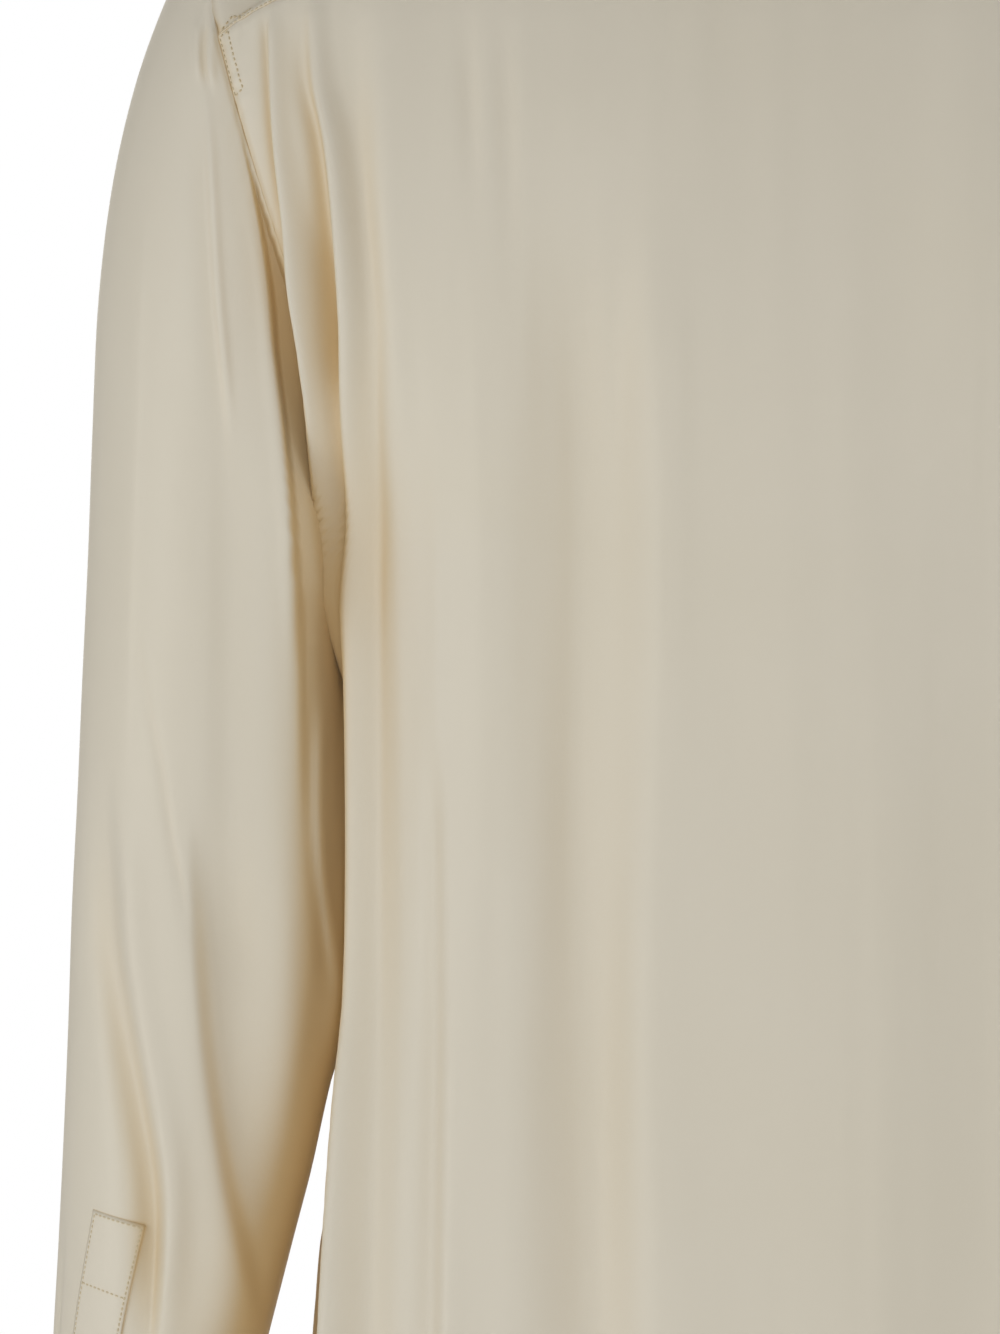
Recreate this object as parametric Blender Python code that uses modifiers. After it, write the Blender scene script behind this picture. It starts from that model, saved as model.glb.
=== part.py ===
"""A long-sleeved silk blouse as it hangs when worn: every cut piece of cloth is its own wall.

Metres, +Z up, front towards -Y, the wearer's left towards +X. The origin is the middle of the shoulder
line, between the two points where the shoulders meet the neck.
"""

import math
from collections import namedtuple

import bmesh
import bpy
from mathutils import Vector

# ---- driving sizes -------------------------------------------------------------------------------
WALL = 0.0012  # thickness of every cloth wall
GAP = 0.0003  # between neighbouring pieces
EDGE_BACK = 0.0002  # how far a flat seam's edge stands back from the seam line
LEFT = 1
RIGHT = -1

ARMHOLE_TOP_Z = -0.048
ARMHOLE_LOW_Z = -0.274
ARMHOLE_DEPTH_BACK = 0.062  # from the shoulder line back to the armhole's rearmost point
ARMHOLE_DEPTH_FRONT = 0.058
YOKE_BACK_Z = -0.062  # yoke seam at the centre back
YOKE_BACK_DROP = 0.0295  # and how much lower it meets the armhole
SHOULDER_HALF = 0.205
YOKE_FRONT_ANGLE = math.radians(-38)  # where the front yoke seam meets the armhole
NECK_HALF = 0.070
NECK_BACK = 0.060
NECK_FRONT = 0.080
NECK_DROP_BACK = 0.020
NECK_DROP_FRONT = 0.080
NECK_YOKE_ANGLE = math.radians(125)  # where the front yoke seam meets the neck, from the centre back
HEM_Z = -0.712
HEM_RISE = 0.026  # the hem is this much higher at the side seams
UNDERLAP_X = -0.012  # the left front reaches this far under the placket
PLACKET_HALF = 0.015
STAND_HEIGHT = 0.030
CUFF_TOP_Z = -0.615
CUFF_LOW_Z = -0.675
TOWER_TOP_Z = -0.507
YOKE_CROWN = 0.006  # the yoke curves up this much between the neck and its border
NECK_CORNER_ANGLE = math.radians(60)  # the neck's point that faces the yoke's rear corner
YOKE_ROWS = 6  # points of the yoke's armhole edge
BACK_ARMHOLE_ROWS = 8  # rows of the back beside the armhole
FRONT_ARMHOLE_ROWS = 9
BODY_ROWS = 12  # rows from the underarm to the hem
BACK_HALF_COLUMNS = 19
BUTTON_ACROSS = 0.0105
BUTTON_THICK = 0.0022
BUTTON_ROUND = 0.0006  # bevel on a button's rim

# One row a height: half the width at the side seams, the depth behind and in front of the shoulder line,
# and how round the oval is (1 a plain oval, less squarer).
Section = namedtuple("Section", "z side_x back_y front_y roundness")
BODY_SECTIONS = [
    Section(-0.030, 0.153, 0.066, 0.044, 0.85),
    Section(-0.062, 0.153, 0.088, 0.069, 0.85),
    Section(-0.100, 0.153, 0.099, 0.092, 0.84),
    Section(-0.160, 0.153, 0.107, 0.112, 0.76),
    Section(-0.220, 0.153, 0.110, 0.121, 0.66),
    Section(-0.280, 0.1526, 0.109, 0.122, 0.60),
    Section(-0.350, 0.151, 0.107, 0.118, 0.60),
    Section(-0.430, 0.152, 0.108, 0.115, 0.62),
    Section(-0.500, 0.158, 0.110, 0.115, 0.64),
    Section(-0.560, 0.164, 0.112, 0.116, 0.66),
    Section(-0.640, 0.170, 0.114, 0.118, 0.68),
    Section(-0.720, 0.174, 0.116, 0.120, 0.70),
]

ArmholeEdge = namedtuple("ArmholeEdge", "z x")
ARMHOLE_EDGE = [
    ArmholeEdge(-0.048, 0.2060),
    ArmholeEdge(-0.081, 0.2070),
    ArmholeEdge(-0.100, 0.2030),
    ArmholeEdge(-0.134, 0.1935),
    ArmholeEdge(-0.173, 0.1811),
    ArmholeEdge(-0.200, 0.1715),
    ArmholeEdge(-0.225, 0.1635),
    ArmholeEdge(-0.250, 0.1565),
    ArmholeEdge(-0.274, 0.1530),
]

# One row a fold: where it lies across the panel (distance from the centre line along the cloth, at its
# top and at its foot), its run in height, half its width, and how far it stands out (under 0: a trough).
Fold = namedtuple("Fold", "name across_top across_foot z_top z_foot half_width stands_out")
BACK_FOLDS = [
    Fold("left armhole ridge", 0.192, 0.184, -0.085, -0.340, 0.0090, 0.0080),
    Fold("left armhole trough", 0.182, 0.180, -0.085, -0.360, 0.0060, -0.0030),
    Fold("left edge ridge", 0.172, 0.172, -0.080, -0.800, 0.0100, 0.0085),
    Fold("left inner trough", 0.159, 0.157, -0.070, -0.420, 0.0080, -0.0035),
    Fold("left inner ridge", 0.149, 0.145, -0.070, -0.800, 0.0080, 0.0035),
    Fold("left low trough", 0.131, 0.130, -0.380, -0.800, 0.0080, -0.0020),
    Fold("left broad trough", 0.080, 0.076, -0.160, -0.800, 0.0300, -0.0035),
    Fold("right broad trough", -0.064, -0.068, -0.180, -0.800, 0.0280, -0.0035),
    Fold("right inner trough", -0.140, -0.136, -0.080, -0.520, 0.0085, -0.0035),
    Fold("right inner ridge", -0.152, -0.150, -0.070, -0.800, 0.0080, 0.0040),
    Fold("right edge ridge", -0.174, -0.171, -0.080, -0.800, 0.0100, 0.0080),
    Fold("right armhole ridge", -0.192, -0.188, -0.085, -0.330, 0.0090, 0.0070),
]
FRONT_FOLDS = [
    Fold("left chest trough", 0.066, 0.060, -0.130, -0.800, 0.0180, -0.0035),
    Fold("left inner ridge", 0.098, 0.104, -0.180, -0.800, 0.0120, 0.0040),
    Fold("left inner trough", 0.124, 0.128, -0.120, -0.600, 0.0090, -0.0035),
    Fold("left edge ridge", 0.165, 0.168, -0.090, -0.800, 0.0110, 0.0075),
    Fold("right chest trough", -0.058, -0.066, -0.150, -0.800, 0.0180, -0.0035),
    Fold("right inner ridge", -0.092, -0.098, -0.200, -0.800, 0.0120, 0.0040),
    Fold("right inner trough", -0.129, -0.122, -0.110, -0.560, 0.0090, -0.0035),
    Fold("right edge ridge", -0.163, -0.170, -0.090, -0.800, 0.0110, 0.0075),
]

# One row a ring of the sleeve, from the shoulder down: the outermost and the innermost point of the
# ring, half its depth from front to back, and how far its middle lies behind the shoulder line.
SleeveRing = namedtuple("SleeveRing", "outer_x outer_z inner_x inner_z half_depth middle_y")
SLEEVE_RINGS = [
    SleeveRing(0.2060, -0.048, 0.1530, -0.2740, 0.0600, 0.0020),
    SleeveRing(0.2160, -0.064, 0.1590, -0.2775, 0.0605, 0.0020),
    SleeveRing(0.2246, -0.081, 0.1622, -0.2825, 0.0608, 0.0018),
    SleeveRing(0.2345, -0.109, 0.1634, -0.2880, 0.0605, 0.0015),
    SleeveRing(0.2425, -0.144, 0.1637, -0.2940, 0.0595, 0.0010),
    SleeveRing(0.2475, -0.185, 0.1636, -0.3010, 0.0580, 0.0005),
    SleeveRing(0.2496, -0.230, 0.1634, -0.3120, 0.0565, 0.0000),
    SleeveRing(0.2512, -0.275, 0.1632, -0.3300, 0.0545, -0.0005),
    SleeveRing(0.2533, -0.320, 0.1630, -0.3530, 0.0525, -0.0015),
    SleeveRing(0.2550, -0.360, 0.1630, -0.3800, 0.0510, -0.0030),
    SleeveRing(0.2570, -0.400, 0.1628, -0.4120, 0.0498, -0.0055),
    SleeveRing(0.2583, -0.440, 0.1630, -0.4450, 0.0488, -0.0085),
    SleeveRing(0.2600, -0.480, 0.1695, -0.4810, 0.0478, -0.0125),
    SleeveRing(0.2620, -0.520, 0.1795, -0.5200, 0.0468, -0.0170),
    SleeveRing(0.2640, -0.555, 0.1885, -0.5550, 0.0450, -0.0215),
    SleeveRing(0.2648, -0.585, 0.1960, -0.5850, 0.0415, -0.0255),
    SleeveRing(0.2650, -0.604, 0.2010, -0.6040, 0.0365, -0.0280),
    SleeveRing(0.2648, -0.6162, 0.2034, -0.6162, 0.0326, -0.0293),
]
CUFF_RINGS = [
    SleeveRing(0.2670, CUFF_TOP_Z, 0.2010, CUFF_TOP_Z, 0.0350, -0.0292),
    SleeveRing(0.2680, -0.632, 0.2020, -0.6320, 0.0350, -0.0310),
    SleeveRing(0.2688, -0.654, 0.2030, -0.6540, 0.0348, -0.0335),
    SleeveRing(0.2694, CUFF_LOW_Z, 0.2038, CUFF_LOW_Z, 0.0345, -0.0355),
]

# One row a sleeve fold: its angle round the sleeve (0 outside, 90 behind, 180 inside), by its upper and
# lower end, the share of the sleeve's length where it starts and stops, half its width, how far it
# stands out.
SleeveFold = namedtuple("SleeveFold", "name turn_top turn_foot starts stops half_width stands_out")
SLEEVE_FOLDS = [
    SleeveFold("long slanting crease", 62, 104, 0.48, 0.99, 0.0080, -0.0045),
    SleeveFold("its ridge", 78, 118, 0.50, 0.99, 0.0090, 0.0035),
    SleeveFold("inner slanting crease", 112, 150, 0.55, 0.99, 0.0090, -0.0040),
    SleeveFold("upper drag line", 60, 84, 0.20, 0.62, 0.0070, -0.0020),
    SleeveFold("armhole drag line", 112, 104, 0.08, 0.46, 0.0090, -0.0022),
    SleeveFold("inside hollow", 160, 168, 0.30, 0.80, 0.0110, -0.0020),
    SleeveFold("front elbow crease", 300, 255, 0.40, 0.80, 0.0090, -0.0045),
    SleeveFold("front elbow ridge", 282, 238, 0.42, 0.86, 0.0090, 0.0035),
    SleeveFold("front drag line", 262, 284, 0.10, 0.50, 0.0090, -0.0025),
    SleeveFold("front cuff crease", 318, 300, 0.74, 0.99, 0.0070, -0.0035),
    SleeveFold("inner cuff crease", 200, 214, 0.70, 0.99, 0.0070, -0.0030),
]

# The sleeve placket's tower, from its flat top to the cuff: its two edges as angles round the sleeve.
TowerEdge = namedtuple("TowerEdge", "z turn_outer turn_inner")
TOWER_EDGES = [
    TowerEdge(TOWER_TOP_Z, 48, 78),
    TowerEdge(-0.550, 39, 71),
    TowerEdge(-0.585, 34, 70),
    TowerEdge(-0.612, 30, 74),
]

# The collar's free edge, by angle round the neck from the centre back: how far it stands off the neck
# line, and how far it lies above it.
CollarEdge = namedtuple("CollarEdge", "turn stands_off above")
COLLAR_EDGES = [
    CollarEdge(0, 0.0205, -0.0100),
    CollarEdge(45, 0.0210, -0.0060),
    CollarEdge(90, 0.0225, -0.0010),
    CollarEdge(115, 0.0240, -0.0060),
    CollarEdge(135, 0.0290, -0.0250),
    CollarEdge(151, 0.0375, -0.0540),
]

SILK = (0.597, 0.546, 0.442, 1.0)
SHELL_BUTTON = (0.66, 0.62, 0.53, 1.0)


# ---- small helpers -------------------------------------------------------------------------------
def smooth(share):
    """0 to 1 with soft ends."""
    share = min(1.0, max(0.0, share))
    return share * share * (3 - 2 * share)


def mix(start, end, share):
    return start + (end - start) * share


def read_table(rows, key, column, at):
    """A column's value between the rows, on a smooth curve; outside them it stays as it ends."""
    places = [getattr(row, key) for row in rows]
    values = [getattr(row, column) for row in rows]
    if places[0] > places[-1]:
        places.reverse()
        values.reverse()
    at = min(places[-1], max(places[0], at))
    last = len(places) - 1
    low = max(i for i in range(last) if places[i] <= at)

    def slope(i):
        before, after = max(0, i - 1), min(last, i + 1)
        return (values[after] - values[before]) / (places[after] - places[before])

    span = places[low + 1] - places[low]
    t = (at - places[low]) / span
    bend_start = (2 * t**3 - 3 * t**2 + 1) * values[low] + (t**3 - 2 * t**2 + t) * span * slope(low)
    bend_end = (3 * t**2 - 2 * t**3) * values[low + 1] + (t**3 - t**2) * span * slope(low + 1)
    return bend_start + bend_end


def clear_scene():
    for thing in list(bpy.data.objects):
        bpy.data.objects.remove(thing)


def material(name, colour, roughness):
    made = bpy.data.materials.new(name)
    made.use_nodes = True
    shader = made.node_tree.nodes["Principled BSDF"]
    shader.inputs["Base Color"].default_value = colour
    shader.inputs["Roughness"].default_value = roughness
    shader.inputs["Metallic"].default_value = 0.0
    return made


def shrink_edges(grid, closed, first_row, last_row, first_column, last_column):
    """Stands the border of a grid of points back from its seams, by the distances given."""
    rows = [[point.copy() for point in row] for row in grid]

    def step_back(point, inner, distance):
        return point + (inner - point).normalized() * distance

    for i in range(len(rows[0])):
        rows[0][i] = step_back(grid[0][i], grid[1][i], first_row)
        rows[-1][i] = step_back(grid[-1][i], grid[-2][i], last_row)
    if not closed:
        for row in rows:
            row[0] = step_back(row[0], row[1], first_column)
            row[-1] = step_back(row[-1], row[-2], last_column)
    return rows


def cloth_wall(name, grid, finish, closed=False, thickness=WALL):
    """A wall of cloth on a grid of points: rows down the piece, closed all round where it is a tube."""
    made = bmesh.new()
    rows = [[made.verts.new(point) for point in row] for row in grid]
    around = len(rows[0])
    for upper, lower in zip(rows, rows[1:]):
        for i in range(around if closed else around - 1):
            j = (i + 1) % around
            made.faces.new((upper[i], lower[i], lower[j], upper[j]))
    mesh = bpy.data.meshes.new(name)
    made.to_mesh(mesh)
    made.free()
    mesh.shade_smooth()
    mesh.materials.append(finish)
    piece = bpy.data.objects.new(name, mesh)
    wall = piece.modifiers.new("Wall", "SOLIDIFY")
    wall.thickness = thickness
    wall.offset = 0.0
    wall.use_rim = True
    return piece


# ---- the body's form -----------------------------------------------------------------------------
def armhole_point(side, turn):
    """The armhole seam: turn 0 at the shoulder, +180 degrees down the back to the underarm, - in front."""
    middle_z = (ARMHOLE_TOP_Z + ARMHOLE_LOW_Z) / 2
    z = middle_z + (ARMHOLE_TOP_Z - middle_z) * math.cos(turn)
    depth = ARMHOLE_DEPTH_BACK if turn > 0 else ARMHOLE_DEPTH_FRONT
    return Vector((side * read_table(ARMHOLE_EDGE, "z", "x", z), depth * math.sin(turn), z))


def armhole_turn_at(z):
    middle_z = (ARMHOLE_TOP_Z + ARMHOLE_LOW_Z) / 2
    return math.acos(min(1.0, max(-1.0, (z - middle_z) / (ARMHOLE_TOP_Z - middle_z))))


def body_oval(z, behind):
    """At this height: the oval's half width and depth, and the angle from its middle to the panel's edge."""
    depth = read_table(BODY_SECTIONS, "z", "back_y" if behind else "front_y", z)
    roundness = read_table(BODY_SECTIONS, "z", "roundness", z)
    if z <= ARMHOLE_LOW_Z:
        return read_table(BODY_SECTIONS, "z", "side_x", z), depth, math.pi / 2
    highest = armhole_turn_at(YOKE_BACK_Z) if behind else -YOKE_FRONT_ANGLE
    turn = max(armhole_turn_at(z), highest)
    edge = armhole_point(LEFT, turn if behind else -turn)
    edge_angle = math.acos((abs(edge.y) / depth) ** (1 / roundness))
    return edge.x / math.sin(edge_angle), depth, edge_angle


def on_body(angle, z, behind):
    """The smooth body at an angle from its centre line (over 0 on the wearer's left)."""
    half_width, depth, _ = body_oval(z, behind)
    y = depth * max(0.0, math.cos(angle)) ** read_table(BODY_SECTIONS, "z", "roundness", z)
    return Vector((half_width * math.sin(angle), y if behind else -y, z))


def length_round(angle, z, behind, steps=24):
    """Length of cloth from the centre line to this angle."""
    total = 0.0
    last = on_body(0.0, z, behind)
    for i in range(1, steps + 1):
        point = on_body(angle * i / steps, z, behind)
        total += (point - last).length
        last = point
    return math.copysign(total, angle)


def fold_height(folds, across, z):
    """How far the folds push the cloth out at this place."""
    total = 0.0
    for fold in folds:
        run = (fold.z_top - z) / (fold.z_top - fold.z_foot)
        if 0 < run < 1:
            middle = mix(fold.across_top, fold.across_foot, run)
            fades = smooth((fold.z_top - z) / 0.045) * smooth((z - fold.z_foot) / 0.080)
            total += fold.stands_out * fades * math.exp(-(((across - middle) / fold.half_width) ** 2))
    return total


def body_point(angle, z, behind, top_z):
    """The folded body: the folds die out at the seams."""
    point = on_body(angle, z, behind)
    _, _, edge_angle = body_oval(z, behind)
    across = length_round(angle, z, behind)
    to_edge = abs(length_round(edge_angle, z, behind)) - abs(across)
    step = 0.004
    side_step = on_body(angle + step, z, behind) - on_body(angle - step, z, behind)
    down_step = on_body(angle, z - step, behind) - on_body(angle, z + step, behind)
    outward = side_step.cross(down_step).normalized()
    if outward.y * (1 if behind else -1) < 0:
        outward.negate()
    near_seam = smooth(to_edge / 0.018) * smooth((top_z - z) / 0.020)
    height = fold_height(BACK_FOLDS if behind else FRONT_FOLDS, across, z) * near_seam
    return point + outward * height


def hem_z(angle):
    return HEM_Z + HEM_RISE * abs(math.sin(angle)) ** 4


def yoke_seam_z(x):
    return YOKE_BACK_Z - YOKE_BACK_DROP * (abs(x) / SHOULDER_HALF) ** 5


def neck_point(turn):
    """The neck seam: turn 0 at the centre back, half a turn at the centre front."""
    x = NECK_HALF * math.sin(turn)
    if math.cos(turn) > 0:
        return Vector((x, NECK_BACK * math.cos(turn), -NECK_DROP_BACK * math.cos(turn) ** 2))
    z = -NECK_DROP_FRONT * (-math.cos(turn)) ** 1.5
    return Vector((x, NECK_FRONT * math.cos(turn), z))


def front_surface(x, z):
    half_width, _, _ = body_oval(z, False)
    return on_body(math.asin(x / half_width), z, False)


def front_neck_point(side, turn):
    """The front part of the neck seam lies on the fronts; it meets the yoke's part at the yoke seam."""
    plain = neck_point(turn)
    flat = front_surface(plain.x, plain.z)
    share = smooth((turn - NECK_YOKE_ANGLE) / math.radians(15))
    return Vector((side * plain.x, mix(plain.y, flat.y, share), plain.z))


def front_yoke_seam(side, share):
    """From the neck to the armhole."""
    start = front_neck_point(LEFT, NECK_YOKE_ANGLE)
    end = armhole_point(LEFT, YOKE_FRONT_ANGLE)
    point = start.lerp(end, share)
    flat = front_surface(point.x, point.z)
    point.y = mix(start.y - front_surface(start.x, start.z).y, 0.0, smooth(share / 0.3)) + flat.y
    point.x *= side
    return point


# ---- the cut pieces ------------------------------------------------------------------------------
def yoke_turns():
    """Where the points of the yoke's armhole edge lie, from the front seam to the back seam."""
    last = armhole_turn_at(YOKE_BACK_Z - YOKE_BACK_DROP)
    return [mix(YOKE_FRONT_ANGLE, last, i / YOKE_ROWS) for i in range(YOKE_ROWS + 1)]


def panel_turns(behind):
    """Where the rows of the back or of a front meet the armhole, from its yoke seam to the underarm."""
    first = yoke_turns()[-1] if behind else -YOKE_FRONT_ANGLE
    rows = BACK_ARMHOLE_ROWS if behind else FRONT_ARMHOLE_ROWS
    return [mix(first, math.pi, i / rows) for i in range(rows + 1)]


def row_z(r, behind, top_z, low_z):
    """The height of a panel's row r in a column that runs from top_z to the hem at low_z."""
    turns = panel_turns(behind)
    last = len(turns) - 1
    if r > last:
        return mix(ARMHOLE_LOW_Z, low_z, (r - last) / BODY_ROWS)
    heights = [armhole_point(LEFT, turn).z for turn in turns]
    share = (heights[0] - heights[r]) / (heights[0] - heights[-1])
    return mix(top_z, ARMHOLE_LOW_Z, share)


def back_columns():
    """Places across the back, -1 to 1, closer together near its edges."""
    shares = [i / BACK_HALF_COLUMNS for i in range(BACK_HALF_COLUMNS + 1)]
    right = [1 - (1 - share) ** 1.25 for share in shares]
    return [-place for place in right[:0:-1]] + right


def back_seam_z(across):
    z = YOKE_BACK_Z
    for _ in range(4):
        _, _, edge_angle = body_oval(z, True)
        z = yoke_seam_z(on_body(across * edge_angle, z, True).x)
    return z


def make_back(finish):
    grid = []
    for r in range(BACK_ARMHOLE_ROWS + BODY_ROWS + 1):
        row = []
        for across in back_columns():
            top_z = back_seam_z(across)
            z = row_z(r, True, top_z, hem_z(across * math.pi / 2))
            _, _, edge_angle = body_oval(z, True)
            row.append(body_point(across * edge_angle, z, True, top_z))
        grid.append(row)
    grid = shrink_edges(grid, False, 3 * EDGE_BACK, 0.0, 3 * EDGE_BACK, 3 * EDGE_BACK)
    return cloth_wall("back", grid, finish)


def front_grid(side, centre_x, columns=17, neck_share=0.3):
    """Points of one front, from its edge at the centre to the armhole and the side seam."""
    grid = []
    for r in range(FRONT_ARMHOLE_ROWS + BODY_ROWS + 1):
        row = []
        for c in range(columns):
            share = c / (columns - 1)
            neck_turn = math.pi - math.asin(abs(centre_x) / NECK_HALF) * (1 if centre_x >= 0 else -1)
            if share < neck_share:
                turn = mix(neck_turn, NECK_YOKE_ANGLE, share / neck_share)
                top = front_neck_point(LEFT, turn)
            else:
                top = front_yoke_seam(LEFT, (share - neck_share) / (1 - neck_share))
            half_width, _, edge_angle = body_oval(top.z, False)
            start_angle = math.asin(centre_x / half_width)
            top_share = (math.asin(top.x / half_width) - start_angle) / (edge_angle - start_angle)
            z = row_z(r, False, top.z, hem_z(share * math.pi / 2))
            half_width, _, edge_angle = body_oval(z, False)
            start_angle = math.asin(centre_x / half_width)
            place = mix(top_share, share, smooth((top.z - z) / 0.16))
            angle = mix(start_angle, edge_angle, place)
            point = body_point(side * angle, z, False, top.z)
            if r == 0:
                point = Vector((side * top.x, top.y, top.z))
            row.append(point)
        grid.append(row if side == RIGHT else row[::-1])
    return grid


def make_fronts(finish):
    pieces = []
    for side, name, centre_x in ((LEFT, "front_left", UNDERLAP_X), (RIGHT, "front_right", -UNDERLAP_X + 2 * GAP)):
        grid = front_grid(side, centre_x)
        edges = (3 * EDGE_BACK, 0.0) if side == LEFT else (0.0, 3 * EDGE_BACK)
        grid = shrink_edges(grid, False, EDGE_BACK, 0.0, *edges)
        pieces.append(cloth_wall(name, grid, finish))
    return pieces


def placket_point(x, z):
    """On the outside of the fronts, moved out by the wall and the gap."""
    side = LEFT if x >= 0 else RIGHT
    half_width, _, _ = body_oval(z, False)
    point = body_point(math.asin(x / half_width), z, False, front_neck_point(side, math.pi).z)
    return point + Vector((0.0, -(WALL + 2 * GAP), 0.0))


def make_placket(finish, columns=5):
    grid = []
    for r in range(FRONT_ARMHOLE_ROWS + BODY_ROWS + 1):
        z = min(-NECK_DROP_FRONT - 0.003, row_z(r, False, -NECK_DROP_FRONT, HEM_Z))
        row = []
        for c in range(columns):
            x = mix(-PLACKET_HALF, PLACKET_HALF, c / (columns - 1))
            row.append(placket_point(x, z))
        grid.append(row)
    return cloth_wall("front_placket", grid, finish)


def yoke_border():
    """The yoke's outer border from the left front to the right front: armhole, back seam, armhole."""
    left = [armhole_point(LEFT, turn) for turn in yoke_turns()]
    right = [armhole_point(RIGHT, turn) for turn in yoke_turns()]
    back = []
    for across in back_columns()[1:-1]:
        z = back_seam_z(across)
        _, _, edge_angle = body_oval(z, True)
        back.append(on_body(across * edge_angle, z, True))
    return left + back[::-1] + right[::-1]


def make_yoke(finish, rows=6):
    border = yoke_border()
    end_inner = neck_point(NECK_YOKE_ANGLE)
    grid = []
    for r in range(rows):
        out = r / (rows - 1)
        crown = 4 * out * (1 - out)
        end_point = end_inner.lerp(border[0], out) + crown * Vector((0.0, 0.0, YOKE_CROWN))
        shift = front_yoke_seam(LEFT, out) - end_point
        corner = YOKE_ROWS / (len(border) - 1)
        row = []
        for i, outer in enumerate(border):
            share = i / (len(border) - 1)
            from_end = min(share, 1 - share)
            side = LEFT if share < 0.5 else RIGHT
            if from_end < corner:
                turn = mix(NECK_YOKE_ANGLE, NECK_CORNER_ANGLE, from_end / corner)
            else:
                turn = mix(NECK_CORNER_ANGLE, 0.0, (from_end - corner) / (0.5 - corner))
            inner = neck_point(side * turn)
            behind = smooth((from_end - 0.3 * corner) / corner)
            point = inner.lerp(outer, out) + crown * Vector((0.0, YOKE_CROWN * behind, YOKE_CROWN))
            near_end = 1 - smooth(from_end / 0.10)
            row.append(point + near_end * Vector((side * shift.x, shift.y, shift.z)))
        grid.append(row)
    grid = shrink_edges(grid, False, EDGE_BACK, 2 * EDGE_BACK, EDGE_BACK, EDGE_BACK)
    return cloth_wall("yoke", [row[::-1] for row in grid], finish)


def sleeve_ring_value(rings, column, along):
    """A ring size between the rows, along going from 0 at the first ring to 1 at the last."""
    Numbered = namedtuple("Numbered", ("number",) + SleeveRing._fields)
    rows = [Numbered(i, *ring) for i, ring in enumerate(rings)]
    return read_table(rows, "number", column, along * (len(rings) - 1))


def ring_point(rings, side, turn, along, bigger=0.0):
    outer = Vector((sleeve_ring_value(rings, "outer_x", along), 0, sleeve_ring_value(rings, "outer_z", along)))
    inner = Vector((sleeve_ring_value(rings, "inner_x", along), 0, sleeve_ring_value(rings, "inner_z", along)))
    half = (outer - inner) / 2
    half += half.normalized() * bigger
    depth = sleeve_ring_value(rings, "half_depth", along) + bigger
    middle_y = sleeve_ring_value(rings, "middle_y", along)
    point = (outer + inner) / 2 + half * math.cos(turn)
    point.y = middle_y + depth * math.sin(turn)
    point.x *= side
    return point


def sleeve_fold_height(turn, along, radius):
    degrees = math.degrees(turn) % 360
    total = 0.0
    for fold in SLEEVE_FOLDS:
        run = (along - fold.starts) / (fold.stops - fold.starts)
        if 0 < run < 1:
            middle = mix(fold.turn_top, fold.turn_foot, run)
            away = math.radians((degrees - middle + 180) % 360 - 180) * radius
            fades = smooth(run / 0.25) * smooth((1 - run) / 0.20)
            total += fold.stands_out * fades * math.exp(-((away / fold.half_width) ** 2))
    return total


def sleeve_point(side, turn, along, lifted=0.0):
    """A point of the sleeve; lifted moves it out of the cloth."""
    point = ring_point(SLEEVE_RINGS, side, turn, along)
    near_armhole = max(0.0, 1 - along / 0.30) ** 2
    signed_turn = (turn + math.pi) % (2 * math.pi) - math.pi
    point += (armhole_point(side, signed_turn) - ring_point(SLEEVE_RINGS, side, turn, 0.0)) * near_armhole
    middle = (ring_point(SLEEVE_RINGS, side, 0.0, along) + ring_point(SLEEVE_RINGS, side, math.pi, along)) / 2
    outward = (point - middle).normalized()
    seam_fade = smooth(along / 0.10)
    height = sleeve_fold_height(turn, along, 0.048) * seam_fade
    return point + outward * (height + lifted)


def sleeve_turns():
    """Once round the sleeve, a point for each point of the armhole edges that it is sewn to."""
    front = [2 * math.pi - turn for turn in panel_turns(False)[::-1]]
    return yoke_turns() + panel_turns(True)[1:] + front[1:-1]


def make_sleeve(side, name, finish, rings=23):
    turns = sleeve_turns()[::side]
    grid = []
    for r in range(rings):
        along = (r / (rings - 1)) ** 1.1
        grid.append([sleeve_point(side, turn, along) for turn in turns])
    for i, turn in enumerate(turns):
        low = math.sin(turn / 2) ** 8  # the underarm turns sharply, so its edge stands further off
        grid[0][i] += (grid[1][i] - grid[0][i]).normalized() * mix(0.0008, 0.0020, low)
    return cloth_wall(name, grid, finish, closed=True)


def make_cuff(side, name, finish, around=22, rings=5):
    """A plain cuff: its ends meet on the tower's line, and one laps under the other at the button."""
    opening = math.radians(52)
    lap = math.radians(16)
    grid = []
    for r in range(rings):
        along = r / (rings - 1)
        row = []
        for i in range(around + 1):
            share = i / around
            turn = opening - lap + share * (2 * math.pi + 2 * lap)
            lapped = smooth((share - 0.86) / 0.06) * (WALL + 2 * GAP)
            row.append(ring_point(CUFF_RINGS, side, turn, along, lapped))
        grid.append(row if side == LEFT else row[::-1])
    return cloth_wall(name, grid, finish)


def tower_grid(side, columns=6, rows=7):
    grid = []
    for r in range(rows):
        z = mix(TOWER_TOP_Z, TOWER_EDGES[-1].z, r / (rows - 1))
        row = []
        for c in range(columns):
            outer = read_table(TOWER_EDGES, "z", "turn_outer", z)
            inner = read_table(TOWER_EDGES, "z", "turn_inner", z)
            turn = math.radians(mix(outer, inner, c / (columns - 1)))
            low, high = 0.5, 1.0
            for _ in range(24):
                along = (low + high) / 2
                if sleeve_point(side, turn, along).z > z:
                    low = along
                else:
                    high = along
            row.append(sleeve_point(side, turn, along, 1.7 * WALL))
        grid.append(row if side == LEFT else row[::-1])
    return grid


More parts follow.
